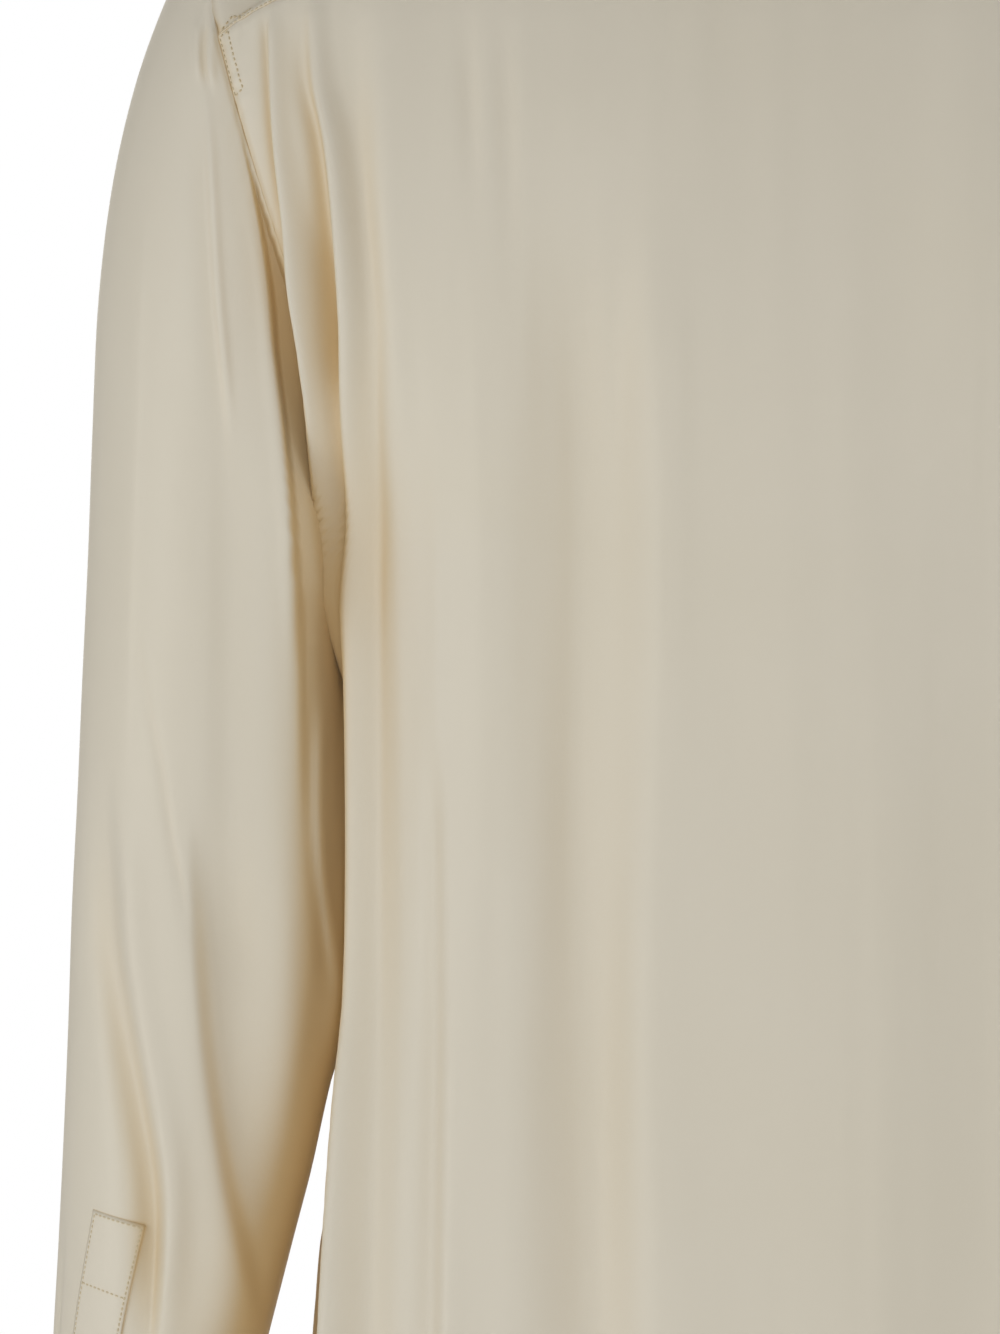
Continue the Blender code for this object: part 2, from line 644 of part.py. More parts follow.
def make_collar_stand(finish, columns=41, rows=3):
    """A band that stands on the neck seam and laps over itself at the centre front."""
    lap = math.radians(9)
    grid = []
    for r in range(rows):
        up = r / (rows - 1)
        row = []
        for c in range(columns):
            share = c / (columns - 1)
            turn = mix(math.pi + lap, -math.pi - lap, share)
            wrapped = (turn + math.pi) % (2 * math.pi) - math.pi
            side = LEFT if wrapped >= 0 else RIGHT
            if abs(wrapped) > NECK_YOKE_ANGLE:
                base = front_neck_point(side, abs(wrapped))
            else:
                base = neck_point(wrapped)
            away = Vector((base.x, base.y, 0.0)).normalized()
            lapped = smooth((share - 0.88) / 0.05) * (WALL + GAP)
            point = base + away * (lapped - 0.002 * up)
            point.z += 0.0013 + STAND_HEIGHT * up * mix(1.0, 0.80, smooth(abs(wrapped) / math.pi))
            row.append(point)
        grid.append(row)
    return cloth_wall("collar_stand", grid[::-1], finish)


def collar_point(turn, fall):
    """fall 0 at the top of the stand, 1 at the collar's free edge."""
    wrapped = (turn + math.pi) % (2 * math.pi) - math.pi
    side = LEFT if wrapped >= 0 else RIGHT
    base = neck_point(wrapped)
    if abs(wrapped) > NECK_YOKE_ANGLE:
        base = front_neck_point(side, abs(wrapped))
    away = Vector((base.x, base.y, 0.0)).normalized()
    degrees = math.degrees(abs(wrapped))
    stand_top = STAND_HEIGHT * mix(1.0, 0.80, smooth(abs(wrapped) / math.pi))
    roll_off, roll_up = 0.0055, stand_top + 0.0035
    edge_off = read_table(COLLAR_EDGES, "turn", "stands_off", degrees)
    edge_up = read_table(COLLAR_EDGES, "turn", "above", degrees)
    if fall < 0.15:
        rolled = fall / 0.15 * math.pi / 2
        off = roll_off * (1 - math.cos(rolled)) * 0.8
        up = stand_top + 0.0025 + 0.0016 * math.sin(rolled)
    else:
        down = (fall - 0.15) / 0.85
        off = mix(roll_off * 0.8, edge_off, down**0.9)
        up = mix(roll_up + 0.0006, edge_up, down ** 1.05)
    return base + away * off + Vector((0.0, 0.0, up))


def make_collar(finish, columns=33, rows=6):
    grid = []
    for r in range(rows):
        fall = (r / (rows - 1)) ** 1.3
        end = math.radians(mix(173, COLLAR_EDGES[-1].turn, fall))
        grid.append([collar_point(mix(end, -end, c / (columns - 1)), fall) for c in range(columns)])
    return cloth_wall("collar", grid, finish)


def make_button(name, place, facing, finish):
    bpy.ops.mesh.primitive_cylinder_add(vertices=12, radius=BUTTON_ACROSS / 2, depth=BUTTON_THICK)
    button = bpy.context.object
    button.name = name
    button.data.name = name
    button.location = place + facing * (WALL / 2 + GAP + BUTTON_THICK / 2)
    button.rotation_mode = "QUATERNION"
    button.rotation_quaternion = facing.to_track_quat("Z", "Y")
    rim = button.modifiers.new("Rim", "BEVEL")
    rim.width = BUTTON_ROUND
    rim.segments = 1
    rim.limit_method = "ANGLE"
    button.data.shade_smooth()
    button.data.set_sharp_from_angle(angle=math.radians(50))
    button.data.materials.append(finish)
    for collection in list(button.users_collection):
        collection.objects.unlink(button)
    return button


def make_buttons(finish):
    buttons = []
    first_z, last_z, count = -0.130, -0.640, 7
    for i in range(count):
        z = mix(first_z, last_z, i / (count - 1))
        place = placket_point(0.0, z)
        down = placket_point(0.0, z - 0.005) - placket_point(0.0, z + 0.005)
        facing = Vector((0.0, down.z, -down.y)).normalized()
        buttons.append(make_button(f"button_front_{i + 1}", place, facing, finish))
    stand = front_neck_point(LEFT, math.pi) + Vector((0.0, -(WALL + GAP), 0.0011 + 0.4 * STAND_HEIGHT))
    stand.y += 0.0008
    buttons.append(make_button("button_stand", stand, Vector((0.0, -1.0, 0.0)), finish))
    for side, name in ((LEFT, "button_cuff_left"), (RIGHT, "button_cuff_right")):
        turn = math.radians(52)
        place = ring_point(CUFF_RINGS, side, turn, 0.5, WALL + 3 * GAP)
        beyond = ring_point(CUFF_RINGS, side, turn, 0.5, 0.01)
        facing = beyond - place
        facing.z = 0.0
        buttons.append(make_button(name, place, facing.normalized(), finish))
    return buttons


def main():
    clear_scene()
    silk = material("silk_crepe", SILK, 0.45)
    shell = material("shell_button", SHELL_BUTTON, 0.25)
    pieces = [make_back(silk), make_yoke(silk), make_placket(silk), make_collar_stand(silk), make_collar(silk)]
    pieces += make_fronts(silk)
    for side, word in ((LEFT, "left"), (RIGHT, "right")):
        pieces.append(make_sleeve(side, f"sleeve_{word}", silk))
        pieces.append(cloth_wall(f"tower_{word}", tower_grid(side), silk))
        pieces.append(make_cuff(side, f"cuff_{word}", silk))
    pieces += make_buttons(shell)
    blouse = bpy.data.collections.new("silk_blouse")
    bpy.context.scene.collection.children.link(blouse)
    for piece in pieces:
        blouse.objects.link(piece)


main()
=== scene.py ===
# %% [markdown]
# # A silk shirt blouse, worn, seen from behind
# The blouse is cut from thin ivory silk: a back, a yoke, two fronts, sleeves, cuffs and a collar. Each cut
# piece becomes one sheet of points that follows the body's form, then gets its folds, its seams and its
# stitches. This lesson builds the sheets with numpy, because every fold can then be placed in centimetres.

# %% Load the frame
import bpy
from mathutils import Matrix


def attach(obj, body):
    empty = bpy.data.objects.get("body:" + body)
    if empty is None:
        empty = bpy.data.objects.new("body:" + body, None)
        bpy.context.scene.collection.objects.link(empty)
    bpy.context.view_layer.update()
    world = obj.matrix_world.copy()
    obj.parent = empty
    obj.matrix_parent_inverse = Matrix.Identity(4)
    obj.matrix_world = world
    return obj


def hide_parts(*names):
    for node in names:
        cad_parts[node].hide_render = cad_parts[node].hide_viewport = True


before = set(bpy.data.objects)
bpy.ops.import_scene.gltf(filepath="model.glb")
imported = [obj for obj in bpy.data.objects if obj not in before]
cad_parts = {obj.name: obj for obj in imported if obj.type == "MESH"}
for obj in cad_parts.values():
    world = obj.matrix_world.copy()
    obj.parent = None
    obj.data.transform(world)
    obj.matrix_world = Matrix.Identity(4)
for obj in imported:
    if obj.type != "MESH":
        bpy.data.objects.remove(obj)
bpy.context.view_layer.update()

import math
from collections import namedtuple

import bmesh
import bpy
import numpy as np
from mathutils import Vector

LEFT, RIGHT = 1, -1
SIDES = ((LEFT, "left"), (RIGHT, "right"))

# %% [markdown]
# ## Colours and a node helper
# Cloth colours are given as sRGB hex values, but shaders add up light in linear numbers, so one
# function turns the first into the second. Nodes could be placed by hand in the shader editor, but a script
# builds them the same way each time. One small function adds a node, sets its values and links its inputs.


# %% Two helpers for materials
def linear(hex_colour, alpha=1.0):
    """'#rrggbb' as the four linear numbers that a shader takes."""
    parts = [int(hex_colour[i:i + 2], 16) / 255 for i in (1, 3, 5)]
    curved = [p / 12.92 if p <= 0.04045 else ((p + 0.055) / 1.055) ** 2.4 for p in parts]
    return (*curved, alpha)


def add_node(tree, kind, settings=None, **links):
    """Adds a node. settings sets properties and unlinked inputs; links joins an output to a named input."""
    node = tree.nodes.new(kind)
    for name, value in (settings or {}).items():
        if hasattr(node, name) and name not in node.inputs:
            setattr(node, name, value)
        else:
            node.inputs[name].default_value = value
    for name, output in links.items():
        tree.links.new(output, node.inputs[name.replace("_", " ")])
    return node


def new_material(name):
    made = bpy.data.materials.new(name)
    made.use_nodes = True
    made.node_tree.nodes.clear()
    return made, made.node_tree


print("mid grey in linear light:", round(linear("#808080")[0], 3))

# %% [markdown]
# ## Silk crepe
# Crepe de chine is a plain weave of fine silk with hard-twisted weft. The twist breaks up the shine, so it
# has a low, wide sheen and no sharp glints. Undyed silk is a warm ivory, and light that bounces inside a fold
# picks that warmth up again and again, so deep folds turn golden. A few bounces can't show all of it, so the
# rest is painted: the colour turns golden by how shut in a place is, which the Ambient Occlusion node knows.
# This gold is painted bounce light and painted shade, in the folds and where the sleeve lies near the body.
# An image of real crepe could be laid on the cloth, but it would blur close up and repeat across a panel.
# Noise stretched along the two ways of the weave does neither. A thread is about 0.12 mm wide, far too fine
# to show, so the weave is drawn with threads several times as wide, and only as a faint bump.

# %% The silk
SILK_IVORY = "#eee7da"  # undyed silk, washed: light and warm
SILK_SHADE = "#eae2d1"  # the same cloth where the yarn lies a little denser
# painted bounce light and shade: the gold that folds and the sleeve's side near the body are painted with
PAINTED_BOUNCE_GOLD = "#ddc498"  # what is left of the light after many bounces between two layers
CLOUD_WIDTH = 1 / 7  # metres across a patch of denser yarn
HOLLOW_REACH = 0.062  # a fold counts as a hollow up to this width, in metres
GOLD_STARTS, GOLD_FULL = 0.98, 0.48  # share of open air where the gold begins and where it is full
THREAD_DRAWN = 0.0009  # metres from thread to thread, drawn coarser than the real 0.00012 to show at all
SLUB_LENGTH = 0.030  # thick places in the yarn are a few centimetres long
WEAVE_DEPTH = 0.00003


def silk_crepe():
    made, tree = new_material("silk_crepe_plain_weave")
    place = add_node(tree, "ShaderNodeUVMap", {"uv_map": "cloth"}).outputs["UV"]
    cloud = add_node(tree, "ShaderNodeTexNoise", {"Scale": 1 / CLOUD_WIDTH, "Detail": 2.0, "Roughness": 0.5},
                     Vector=place)
    long_way = add_node(tree, "ShaderNodeMapping", {"Scale": (1 / THREAD_DRAWN, 1 / SLUB_LENGTH, 1.0)},
                        Vector=place)
    slub = add_node(tree, "ShaderNodeTexNoise", {"Scale": 1.0, "Detail": 1.0}, Vector=long_way.outputs[0])
    cross_way = add_node(tree, "ShaderNodeMapping", {"Scale": (1 / SLUB_LENGTH, 1 / THREAD_DRAWN, 1.0)},
                         Vector=place)
    weft = add_node(tree, "ShaderNodeTexNoise", {"Scale": 1.0, "Detail": 1.0}, Vector=cross_way.outputs[0])
    threads = add_node(tree, "ShaderNodeMath", {"operation": "ADD"})
    tree.links.new(slub.outputs[0], threads.inputs[0])
    tree.links.new(weft.outputs[0], threads.inputs[1])
    shade = add_node(tree, "ShaderNodeMix", {"data_type": "RGBA", "blend_type": "MIX"})
    shade.inputs[6].default_value = linear(SILK_IVORY)
    shade.inputs[7].default_value = linear(SILK_SHADE)
    tree.links.new(cloud.outputs[0], shade.inputs[0])
    # painted bounce light and shade: the silk turns gold where the Ambient Occlusion node finds it shut in
    openness = add_node(tree, "ShaderNodeAmbientOcclusion", {"samples": 8, "Distance": HOLLOW_REACH})
    shut = add_node(tree, "ShaderNodeMapRange", {
        "interpolation_type": "LINEAR",
        "From Min": GOLD_STARTS,
        "From Max": GOLD_FULL,
        "To Min": 0.0,
        "To Max": 1.0,
    }, Value=openness.outputs["AO"])
    warm = add_node(tree, "ShaderNodeMix", {"data_type": "RGBA", "blend_type": "MIX"})
    warm.inputs[7].default_value = linear(PAINTED_BOUNCE_GOLD)
    tree.links.new(shut.outputs[0], warm.inputs[0])
    tree.links.new(shade.outputs[2], warm.inputs[6])
    bump = add_node(tree, "ShaderNodeBump", {"Strength": 0.35, "Distance": WEAVE_DEPTH},
                    Height=threads.outputs[0])
    shader = add_node(tree, "ShaderNodeBsdfPrincipled", {
        "Roughness": 0.52,  # silk is smooth, crepe twist scatters the shine
        "IOR": 1.54,  # silk fibre
        "Sheen Weight": 0.18,
        "Sheen Roughness": 0.35,
        "Sheen Tint": linear("#fff6e4"),
        "Specular IOR Level": 0.42,
    }, Base_Color=warm.outputs[2], Normal=bump.outputs[0])
    add_node(tree, "ShaderNodeOutputMaterial", Surface=shader.outputs[0])
    return made


silk = silk_crepe()
print("made", silk.name)

# %% [markdown]
# ## Sewing thread and shirt buttons
# The seams are sewn with spun polyester in the cloth's colour. It is matt, and its colour is a little darker
# as painted shade, standing for the shadow in its fuzz and in the needle holes. Its twist is too fine to
# model, so a wave texture gives it as a bump. The buttons are turned from pearly shell, which is hard and
# smooth: a clear glint over soft bands, where the lathe cut its layers.

# %% Thread and shell
# painted shade: the thread is a little darker than the cloth, for the shadow of its fuzz and needle holes
THREAD_WITH_PAINTED_SHADE = "#dacdae"
SHELL_COLOUR = "#ece4d3"
SHELL_BAND = "#d8cdb8"
WAVE_LENGTH = 0.315  # a Wave texture of scale 1 repeats after this many metres
TWIST_PITCH = 0.00035  # metres from turn to turn of the thread's twist
LAYER_PITCH = 0.00525  # metres from band to band of the shell


def spun_thread():
    made, tree = new_material("spun_polyester_thread")
    place = add_node(tree, "ShaderNodeTexCoord").outputs["Object"]
    twist = add_node(tree, "ShaderNodeTexWave", {"Scale": WAVE_LENGTH / TWIST_PITCH, "Distortion": 1.0},
                     Vector=place)
    bump = add_node(tree, "ShaderNodeBump", {"Strength": 0.4, "Distance": 0.00005}, Height=twist.outputs[1])
    shader = add_node(tree, "ShaderNodeBsdfPrincipled", {
        "Base Color": linear(THREAD_WITH_PAINTED_SHADE),
        "Roughness": 0.75,
        "IOR": 1.58,  # polyester
        "Sheen Weight": 0.2,
    }, Normal=bump.outputs[0])
    add_node(tree, "ShaderNodeOutputMaterial", Surface=shader.outputs[0])
    return made


def turned_shell():
    made, tree = new_material("turned_pearl_shell")
    place = add_node(tree, "ShaderNodeTexCoord").outputs["Object"]
    bands = add_node(tree, "ShaderNodeTexWave", {
        "Scale": WAVE_LENGTH / LAYER_PITCH,
        "Distortion": 6.0,
        "Detail": 2.0,
    }, Vector=place)
    colour = add_node(tree, "ShaderNodeMix", {"data_type": "RGBA"})
    colour.inputs[6].default_value = linear(SHELL_COLOUR)
    colour.inputs[7].default_value = linear(SHELL_BAND)
    tree.links.new(bands.outputs[1], colour.inputs[0])
    shader = add_node(tree, "ShaderNodeBsdfPrincipled", {
        "Roughness": 0.22,
        "IOR": 1.6,  # nacre
        "Coat Weight": 0.4,
    }, Base_Color=colour.outputs[2])
    add_node(tree, "ShaderNodeOutputMaterial", Surface=shader.outputs[0])
    return made


thread = spun_thread()
shell = turned_shell()
print("made", thread.name, shell.name)

# %% [markdown]
# ## Reading a short table as a smooth curve
# The body's form, the armhole and the sleeve are short tables of real sizes. Straight lines between the rows
# would show as creases in thin silk, so the reader runs a smooth curve through them. Blender's own curve
# objects could do it too, but this reader takes whole arrays of places at once, which makes fine grids fast.


# %% The table reader
def smooth(share):
    """0 to 1 with soft ends."""
    share = np.clip(share, 0.0, 1.0)
    return share * share * (3 - 2 * share)


def mix(start, end, share):
    return start + (end - start) * share


def read_column(places, values, at):
    """Values between the given ones, on a smooth curve through them."""
    order = np.argsort(places)
    places, values = np.asarray(places, float)[order], np.asarray(values, float)[order]
    last = len(places) - 1
    before, after = np.maximum(np.arange(last + 1) - 1, 0), np.minimum(np.arange(last + 1) + 1, last)
    slopes = (values[after] - values[before]) / (places[after] - places[before])
    at = np.clip(at, places[0], places[-1])
    low = np.clip(np.searchsorted(places, at, side="right") - 1, 0, last - 1)
    span = places[low + 1] - places[low]
    t = (at - places[low]) / span
    start = (2 * t**3 - 3 * t**2 + 1) * values[low] + (t**3 - 2 * t**2 + t) * span * slopes[low]
    end = (3 * t**2 - 2 * t**3) * values[low + 1] + (t**3 - t**2) * span * slopes[low + 1]
    return start + end


def read_table(rows, key, column, at):
    """One column of a table, read where its key column has these values."""
    return read_column([getattr(r, key) for r in rows], [getattr(r, column) for r in rows], at)


print("half way up a soft step:", float(smooth(0.5)))

# %% [markdown]
# ## The body's form
# A worn blouse hangs from the shoulder blades and the chest, so its section is a soft-cornered oval that
# hardly narrows at the waist. It could be sculpted, but then no seam would have a known size. Here one table
# gives its size at each height, another where the armhole seam runs. The sizes are those of the solid pieces,
# so the sheets lie exactly on them.

# %% Sizes of the body
# Roundness 1 makes an ellipse, and less makes a squarer oval.
Section = namedtuple("Section", "z side_x back_y front_y roundness")
BODY_SECTIONS = [
    Section(-0.030, 0.153, 0.066, 0.044, 0.85),
    Section(-0.062, 0.153, 0.088, 0.069, 0.85),
    Section(-0.100, 0.153, 0.099, 0.092, 0.84),
    Section(-0.160, 0.153, 0.107, 0.112, 0.76),
    Section(-0.220, 0.153, 0.110, 0.121, 0.66),
    Section(-0.280, 0.1526, 0.109, 0.122, 0.60),
    Section(-0.350, 0.151, 0.107, 0.118, 0.60),
    Section(-0.430, 0.152, 0.108, 0.115, 0.62),
    Section(-0.500, 0.158, 0.110, 0.115, 0.64),
    Section(-0.560, 0.164, 0.112, 0.116, 0.66),
    Section(-0.640, 0.170, 0.114, 0.118, 0.68),
    Section(-0.720, 0.174, 0.116, 0.120, 0.70),
]
ArmholeEdge = namedtuple("ArmholeEdge", "z x")
ARMHOLE_EDGE = [
    ArmholeEdge(-0.048, 0.2060),
    ArmholeEdge(-0.081, 0.2070),
    ArmholeEdge(-0.100, 0.2030),
    ArmholeEdge(-0.134, 0.1935),
    ArmholeEdge(-0.173, 0.1811),
    ArmholeEdge(-0.200, 0.1715),
    ArmholeEdge(-0.225, 0.1635),
    ArmholeEdge(-0.250, 0.1565),
    ArmholeEdge(-0.274, 0.1530),
]
ARMHOLE_TOP_Z, ARMHOLE_LOW_Z = -0.048, -0.274
ARMHOLE_MIDDLE_Z = (ARMHOLE_TOP_Z + ARMHOLE_LOW_Z) / 2
ARMHOLE_HALF = (ARMHOLE_TOP_Z - ARMHOLE_LOW_Z) / 2
ARMHOLE_DEPTH_BACK, ARMHOLE_DEPTH_FRONT = 0.062, 0.058
YOKE_BACK_Z, YOKE_BACK_DROP, SHOULDER_HALF = -0.062, 0.0295, 0.205
YOKE_FRONT_ANGLE = math.radians(-38)
NECK_HALF, NECK_BACK, NECK_FRONT = 0.070, 0.060, 0.080
NECK_DROP_BACK, NECK_DROP_FRONT = 0.020, 0.080
NECK_YOKE_ANGLE, NECK_EASE = math.radians(125), math.radians(15)  # where the front yoke seam meets the neck
HEM_Z, HEM_RISE = -0.712, 0.026
print("armhole", round(ARMHOLE_HALF * 2, 3), "m tall")


# %% Points of the body
def points(x, y, z):
    return np.stack(np.broadcast_arrays(x, y, z), axis=-1).astype(float)


def armhole_points(side, turn):
    """The armhole seam: turn 0 at the shoulder, half a turn at the underarm, over 0 behind."""
    turn = np.asarray(turn, float)
    z = ARMHOLE_MIDDLE_Z + ARMHOLE_HALF * np.cos(turn)
    depth = np.where(turn > 0, ARMHOLE_DEPTH_BACK, ARMHOLE_DEPTH_FRONT)
    return points(side * read_table(ARMHOLE_EDGE, "z", "x", z), depth * np.sin(turn), z)


def armhole_turn_at(z):
    """How far round the armhole seam has come at a height."""
    return np.arccos(np.clip((z - ARMHOLE_MIDDLE_Z) / ARMHOLE_HALF, -1, 1))


def body_oval(z, behind):
    """Half width and depth of the body's oval, and the angle from its middle to the panel's edge."""
    z = np.asarray(z, float)
    depth = read_table(BODY_SECTIONS, "z", "back_y" if behind else "front_y", z)
    roundness = read_table(BODY_SECTIONS, "z", "roundness", z)
    highest = armhole_turn_at(YOKE_BACK_Z) if behind else -YOKE_FRONT_ANGLE
    turn = np.maximum(armhole_turn_at(z), highest)
    edge = armhole_points(LEFT, turn if behind else -turn)
    angle = np.arccos(np.clip((np.abs(edge[..., 1]) / depth) ** (1 / roundness), 0, 1))
    below = z <= ARMHOLE_LOW_Z
    angle = np.where(below, math.pi / 2, angle)
    side_x = read_table(BODY_SECTIONS, "z", "side_x", z)
    return np.where(below, side_x, edge[..., 0] / np.sin(angle)), depth, angle


def on_body(angle, z, behind):
    """Points of the body's form: angle 0 in the middle, a quarter turn at the side."""
    half_width, depth, _ = body_oval(z, behind)
    y = depth * np.clip(np.cos(angle), 0, 1) ** read_table(BODY_SECTIONS, "z", "roundness", z)
    return points(half_width * np.sin(angle), y if behind else -y, z)


def hem_z(angle):
    """The hem curves up towards the side seams."""
    return HEM_Z + HEM_RISE * np.abs(np.sin(angle)) ** 4


def neck_points(turn):
    """The neck seam: turn 0 at the centre back, half a turn at the centre front."""
    turn = np.asarray(turn, float)
    x, c = NECK_HALF * np.sin(turn), np.cos(turn)
    y = np.where(c > 0, NECK_BACK, NECK_FRONT) * c
    z = np.where(c > 0, -NECK_DROP_BACK * c**2, -NECK_DROP_FRONT * np.clip(-c, 0, 1) ** 1.5)
    flat_angle = np.arcsin(np.clip(np.abs(x) / body_oval(z, False)[0], -1, 1))
    flat_y = on_body(flat_angle, z, False)[..., 1]
    share = smooth((np.abs(turn) - NECK_YOKE_ANGLE) / NECK_EASE)
    return points(x, mix(y, flat_y, share), z)


print("chest half width", on_body(np.array(1.2), np.array(-0.2), False).round(3))

# %% [markdown]
# ## Folds
# Silk that hangs from a seam falls in long folds that keep their distance from the straight grain. They could
# be sculpted with a brush, but a row of numbers can be changed later: how far the fold lies from the centre
# line along the cloth, where it starts and ends, its half width, how far it stands out, and how far its crest
# leans sideways. Leaning crests make one flank of a fold steep and the other long, which is what gives
# hanging silk its quiet shading.

# %% The long folds of the back and the fronts
Fold = namedtuple("Fold", "name across_top across_foot z_top z_foot half_width stands_out leans")
BACK_FOLDS = [
    Fold("left low trough", 0.1355, 0.1350, -0.330, -0.900, 0.0055, -0.0018, 0.0),
    Fold("left low ridge", 0.1300, 0.1290, -0.330, -0.900, 0.0055, 0.0012, 0.0),
    Fold("left short gather", 0.1180, 0.1150, -0.070, -0.190, 0.0040, -0.0016, 0.0),
    Fold("left second gather", 0.1060, 0.1010, -0.068, -0.210, 0.0050, -0.0014, 0.0),
    Fold("left broad trough", 0.0800, 0.0760, -0.110, -0.900, 0.0220, -0.0100, 0.0),
    Fold("left trough's edge", 0.0500, 0.0520, -0.140, -0.900, 0.0120, 0.0026, 0.0),
    Fold("left soft rise", 0.0200, 0.0170, -0.090, -0.500, 0.0200, 0.0012, 0.0),
    Fold("middle trough", -0.0640, -0.0680, -0.130, -0.900, 0.0260, -0.0045, 0.0),
    Fold("right soft rise", -0.0250, -0.0280, -0.260, -0.900, 0.0180, 0.0014, 0.0),
    Fold("right low trough", -0.1040, -0.1010, -0.300, -0.900, 0.0060, -0.0018, 0.0),
    Fold("right inner trough", -0.1400, -0.1360, -0.080, -0.560, 0.0065, -0.0040, 0.0),
    Fold("right inner ridge", -0.1520, -0.1500, -0.070, -0.900, 0.0065, 0.0040, -0.0015),
]
FRONT_FOLDS = [
    Fold("left chest trough", 0.066, 0.060, -0.130, -0.900, 0.0180, -0.0045, 0.0),
    Fold("left chest gather", 0.084, 0.080, -0.075, -0.260, 0.0060, -0.0016, 0.0),
    Fold("left inner ridge", 0.098, 0.104, -0.180, -0.900, 0.0100, 0.0045, 0.0015),
    Fold("left inner trough", 0.124, 0.128, -0.120, -0.620, 0.0070, -0.0045, 0.0),
    Fold("left low ridge", 0.142, 0.146, -0.360, -0.900, 0.0070, 0.0030, 0.0),
    Fold("left edge ridge", 0.170, 0.172, -0.090, -0.900, 0.0090, 0.0090, 0.0030),
    Fold("left armhole ridge", 0.187, 0.186, -0.090, -0.330, 0.0070, 0.0070, 0.0030),
    Fold("left side flare", 0.194, 0.196, -0.452, -0.900, 0.0120, 0.0110, 0.0),
    Fold("right side flare", -0.190, -0.194, -0.480, -0.900, 0.0120, 0.0080, 0.0),
    Fold("right chest trough", -0.058, -0.066, -0.150, -0.900, 0.0180, -0.0045, 0.0),
    Fold("right chest gather", -0.088, -0.078, -0.075, -0.240, 0.0060, -0.0015, 0.0),
    Fold("right inner ridge", -0.092, -0.098, -0.200, -0.900, 0.0100, 0.0045, -0.0015),
    Fold("right inner trough", -0.129, -0.122, -0.110, -0.580, 0.0070, -0.0045, 0.0),
    Fold("right low ridge", -0.146, -0.140, -0.400, -0.900, 0.0070, 0.0030, 0.0),
    Fold("right edge ridge", -0.168, -0.174, -0.090, -0.900, 0.0090, 0.0090, -0.0030),
    Fold("right armhole ridge", -0.186, -0.187, -0.090, -0.320, 0.0070, 0.0065, -0.0030),
]
print(len(BACK_FOLDS), "folds behind,", len(FRONT_FOLDS), "in front")

# %% [markdown]
# ## Folds that bend
# Two big folds run down each side of the back, where the cloth comes away from the armhole and hangs free.
# They bend too much for a straight row, so each has a table of its own: at each height its distance from the
# centre line, half its width, how far it stands out and how far it leans. A ridge has its groove beside it,
# because the cloth that a ridge takes has to come from somewhere.

# %% The folds at the back's sides
FoldLevel = namedtuple("FoldLevel", "z across half_width stands_out leans")
ARMHOLE_FOLD = [
    FoldLevel(-0.072, 0.1905, 0.0030, 0.0010, 0.0006),
    FoldLevel(-0.100, 0.1900, 0.0030, 0.0024, 0.0012),
    FoldLevel(-0.130, 0.1885, 0.0034, 0.0038, 0.0016),
    FoldLevel(-0.160, 0.1842, 0.0040, 0.0058, 0.0024),
    FoldLevel(-0.180, 0.1800, 0.0048, 0.0096, 0.0038),
    FoldLevel(-0.200, 0.1774, 0.0038, 0.0122, 0.0038),
    FoldLevel(-0.220, 0.1760, 0.0037, 0.0156, 0.0040),
    FoldLevel(-0.250, 0.1796, 0.0043, 0.0166, 0.0026),
    FoldLevel(-0.272, 0.1840, 0.0052, 0.0184, 0.0006),
    FoldLevel(-0.297, 0.1852, 0.0060, 0.0172, 0.0008),
    FoldLevel(-0.330, 0.1870, 0.0070, 0.0085, 0.0010),
    FoldLevel(-0.380, 0.1880, 0.0080, 0.0000, 0.0000),
]
ARMHOLE_TROUGH = [
    FoldLevel(-0.072, 0.1945, 0.0022, -0.0008, 0.0),
    FoldLevel(-0.105, 0.1935, 0.0024, -0.0016, 0.0),
    FoldLevel(-0.130, 0.1920, 0.0026, -0.0022, 0.0),
    FoldLevel(-0.160, 0.1885, 0.0030, -0.0018, 0.0),
    FoldLevel(-0.190, 0.1850, 0.0030, 0.0000, 0.0),
]
SIDE_FOLD = [
    FoldLevel(-0.070, 0.1745, 0.0034, 0.0010, 0.0004),
    FoldLevel(-0.108, 0.1718, 0.0040, 0.0036, 0.0010),
    FoldLevel(-0.130, 0.1672, 0.0046, 0.0054, 0.0012),
    FoldLevel(-0.160, 0.1640, 0.0050, 0.0070, 0.0012),
    FoldLevel(-0.195, 0.1632, 0.0058, 0.0085, 0.0012),
    FoldLevel(-0.220, 0.1668, 0.0062, 0.0092, 0.0012),
    FoldLevel(-0.250, 0.1718, 0.0066, 0.0110, 0.0010),
    FoldLevel(-0.280, 0.1756, 0.0070, 0.0128, 0.0000),
    FoldLevel(-0.320, 0.1740, 0.0072, 0.0130, -0.0015),
    FoldLevel(-0.430, 0.1735, 0.0074, 0.0136, -0.0015),
    FoldLevel(-0.470, 0.1735, 0.0078, 0.0158, -0.0015),
    FoldLevel(-0.550, 0.1740, 0.0084, 0.0174, -0.0015),
    FoldLevel(-0.600, 0.1745, 0.0090, 0.0163, -0.0015),
    FoldLevel(-0.720, 0.1750, 0.0096, 0.0110, -0.0010),
]
INNER_TROUGH = [
    FoldLevel(-0.085, 0.1575, 0.0070, 0.0000, 0.0),
    FoldLevel(-0.130, 0.1575, 0.0070, -0.0018, 0.0),
    FoldLevel(-0.200, 0.1560, 0.0068, -0.0024, 0.0),
    FoldLevel(-0.250, 0.1622, 0.0064, -0.0010, 0.0),
    FoldLevel(-0.300, 0.1668, 0.0060, -0.0006, 0.0),
    FoldLevel(-0.450, 0.1668, 0.0060, -0.0006, 0.0),
    FoldLevel(-0.620, 0.1668, 0.0060, -0.0004, 0.0),
]
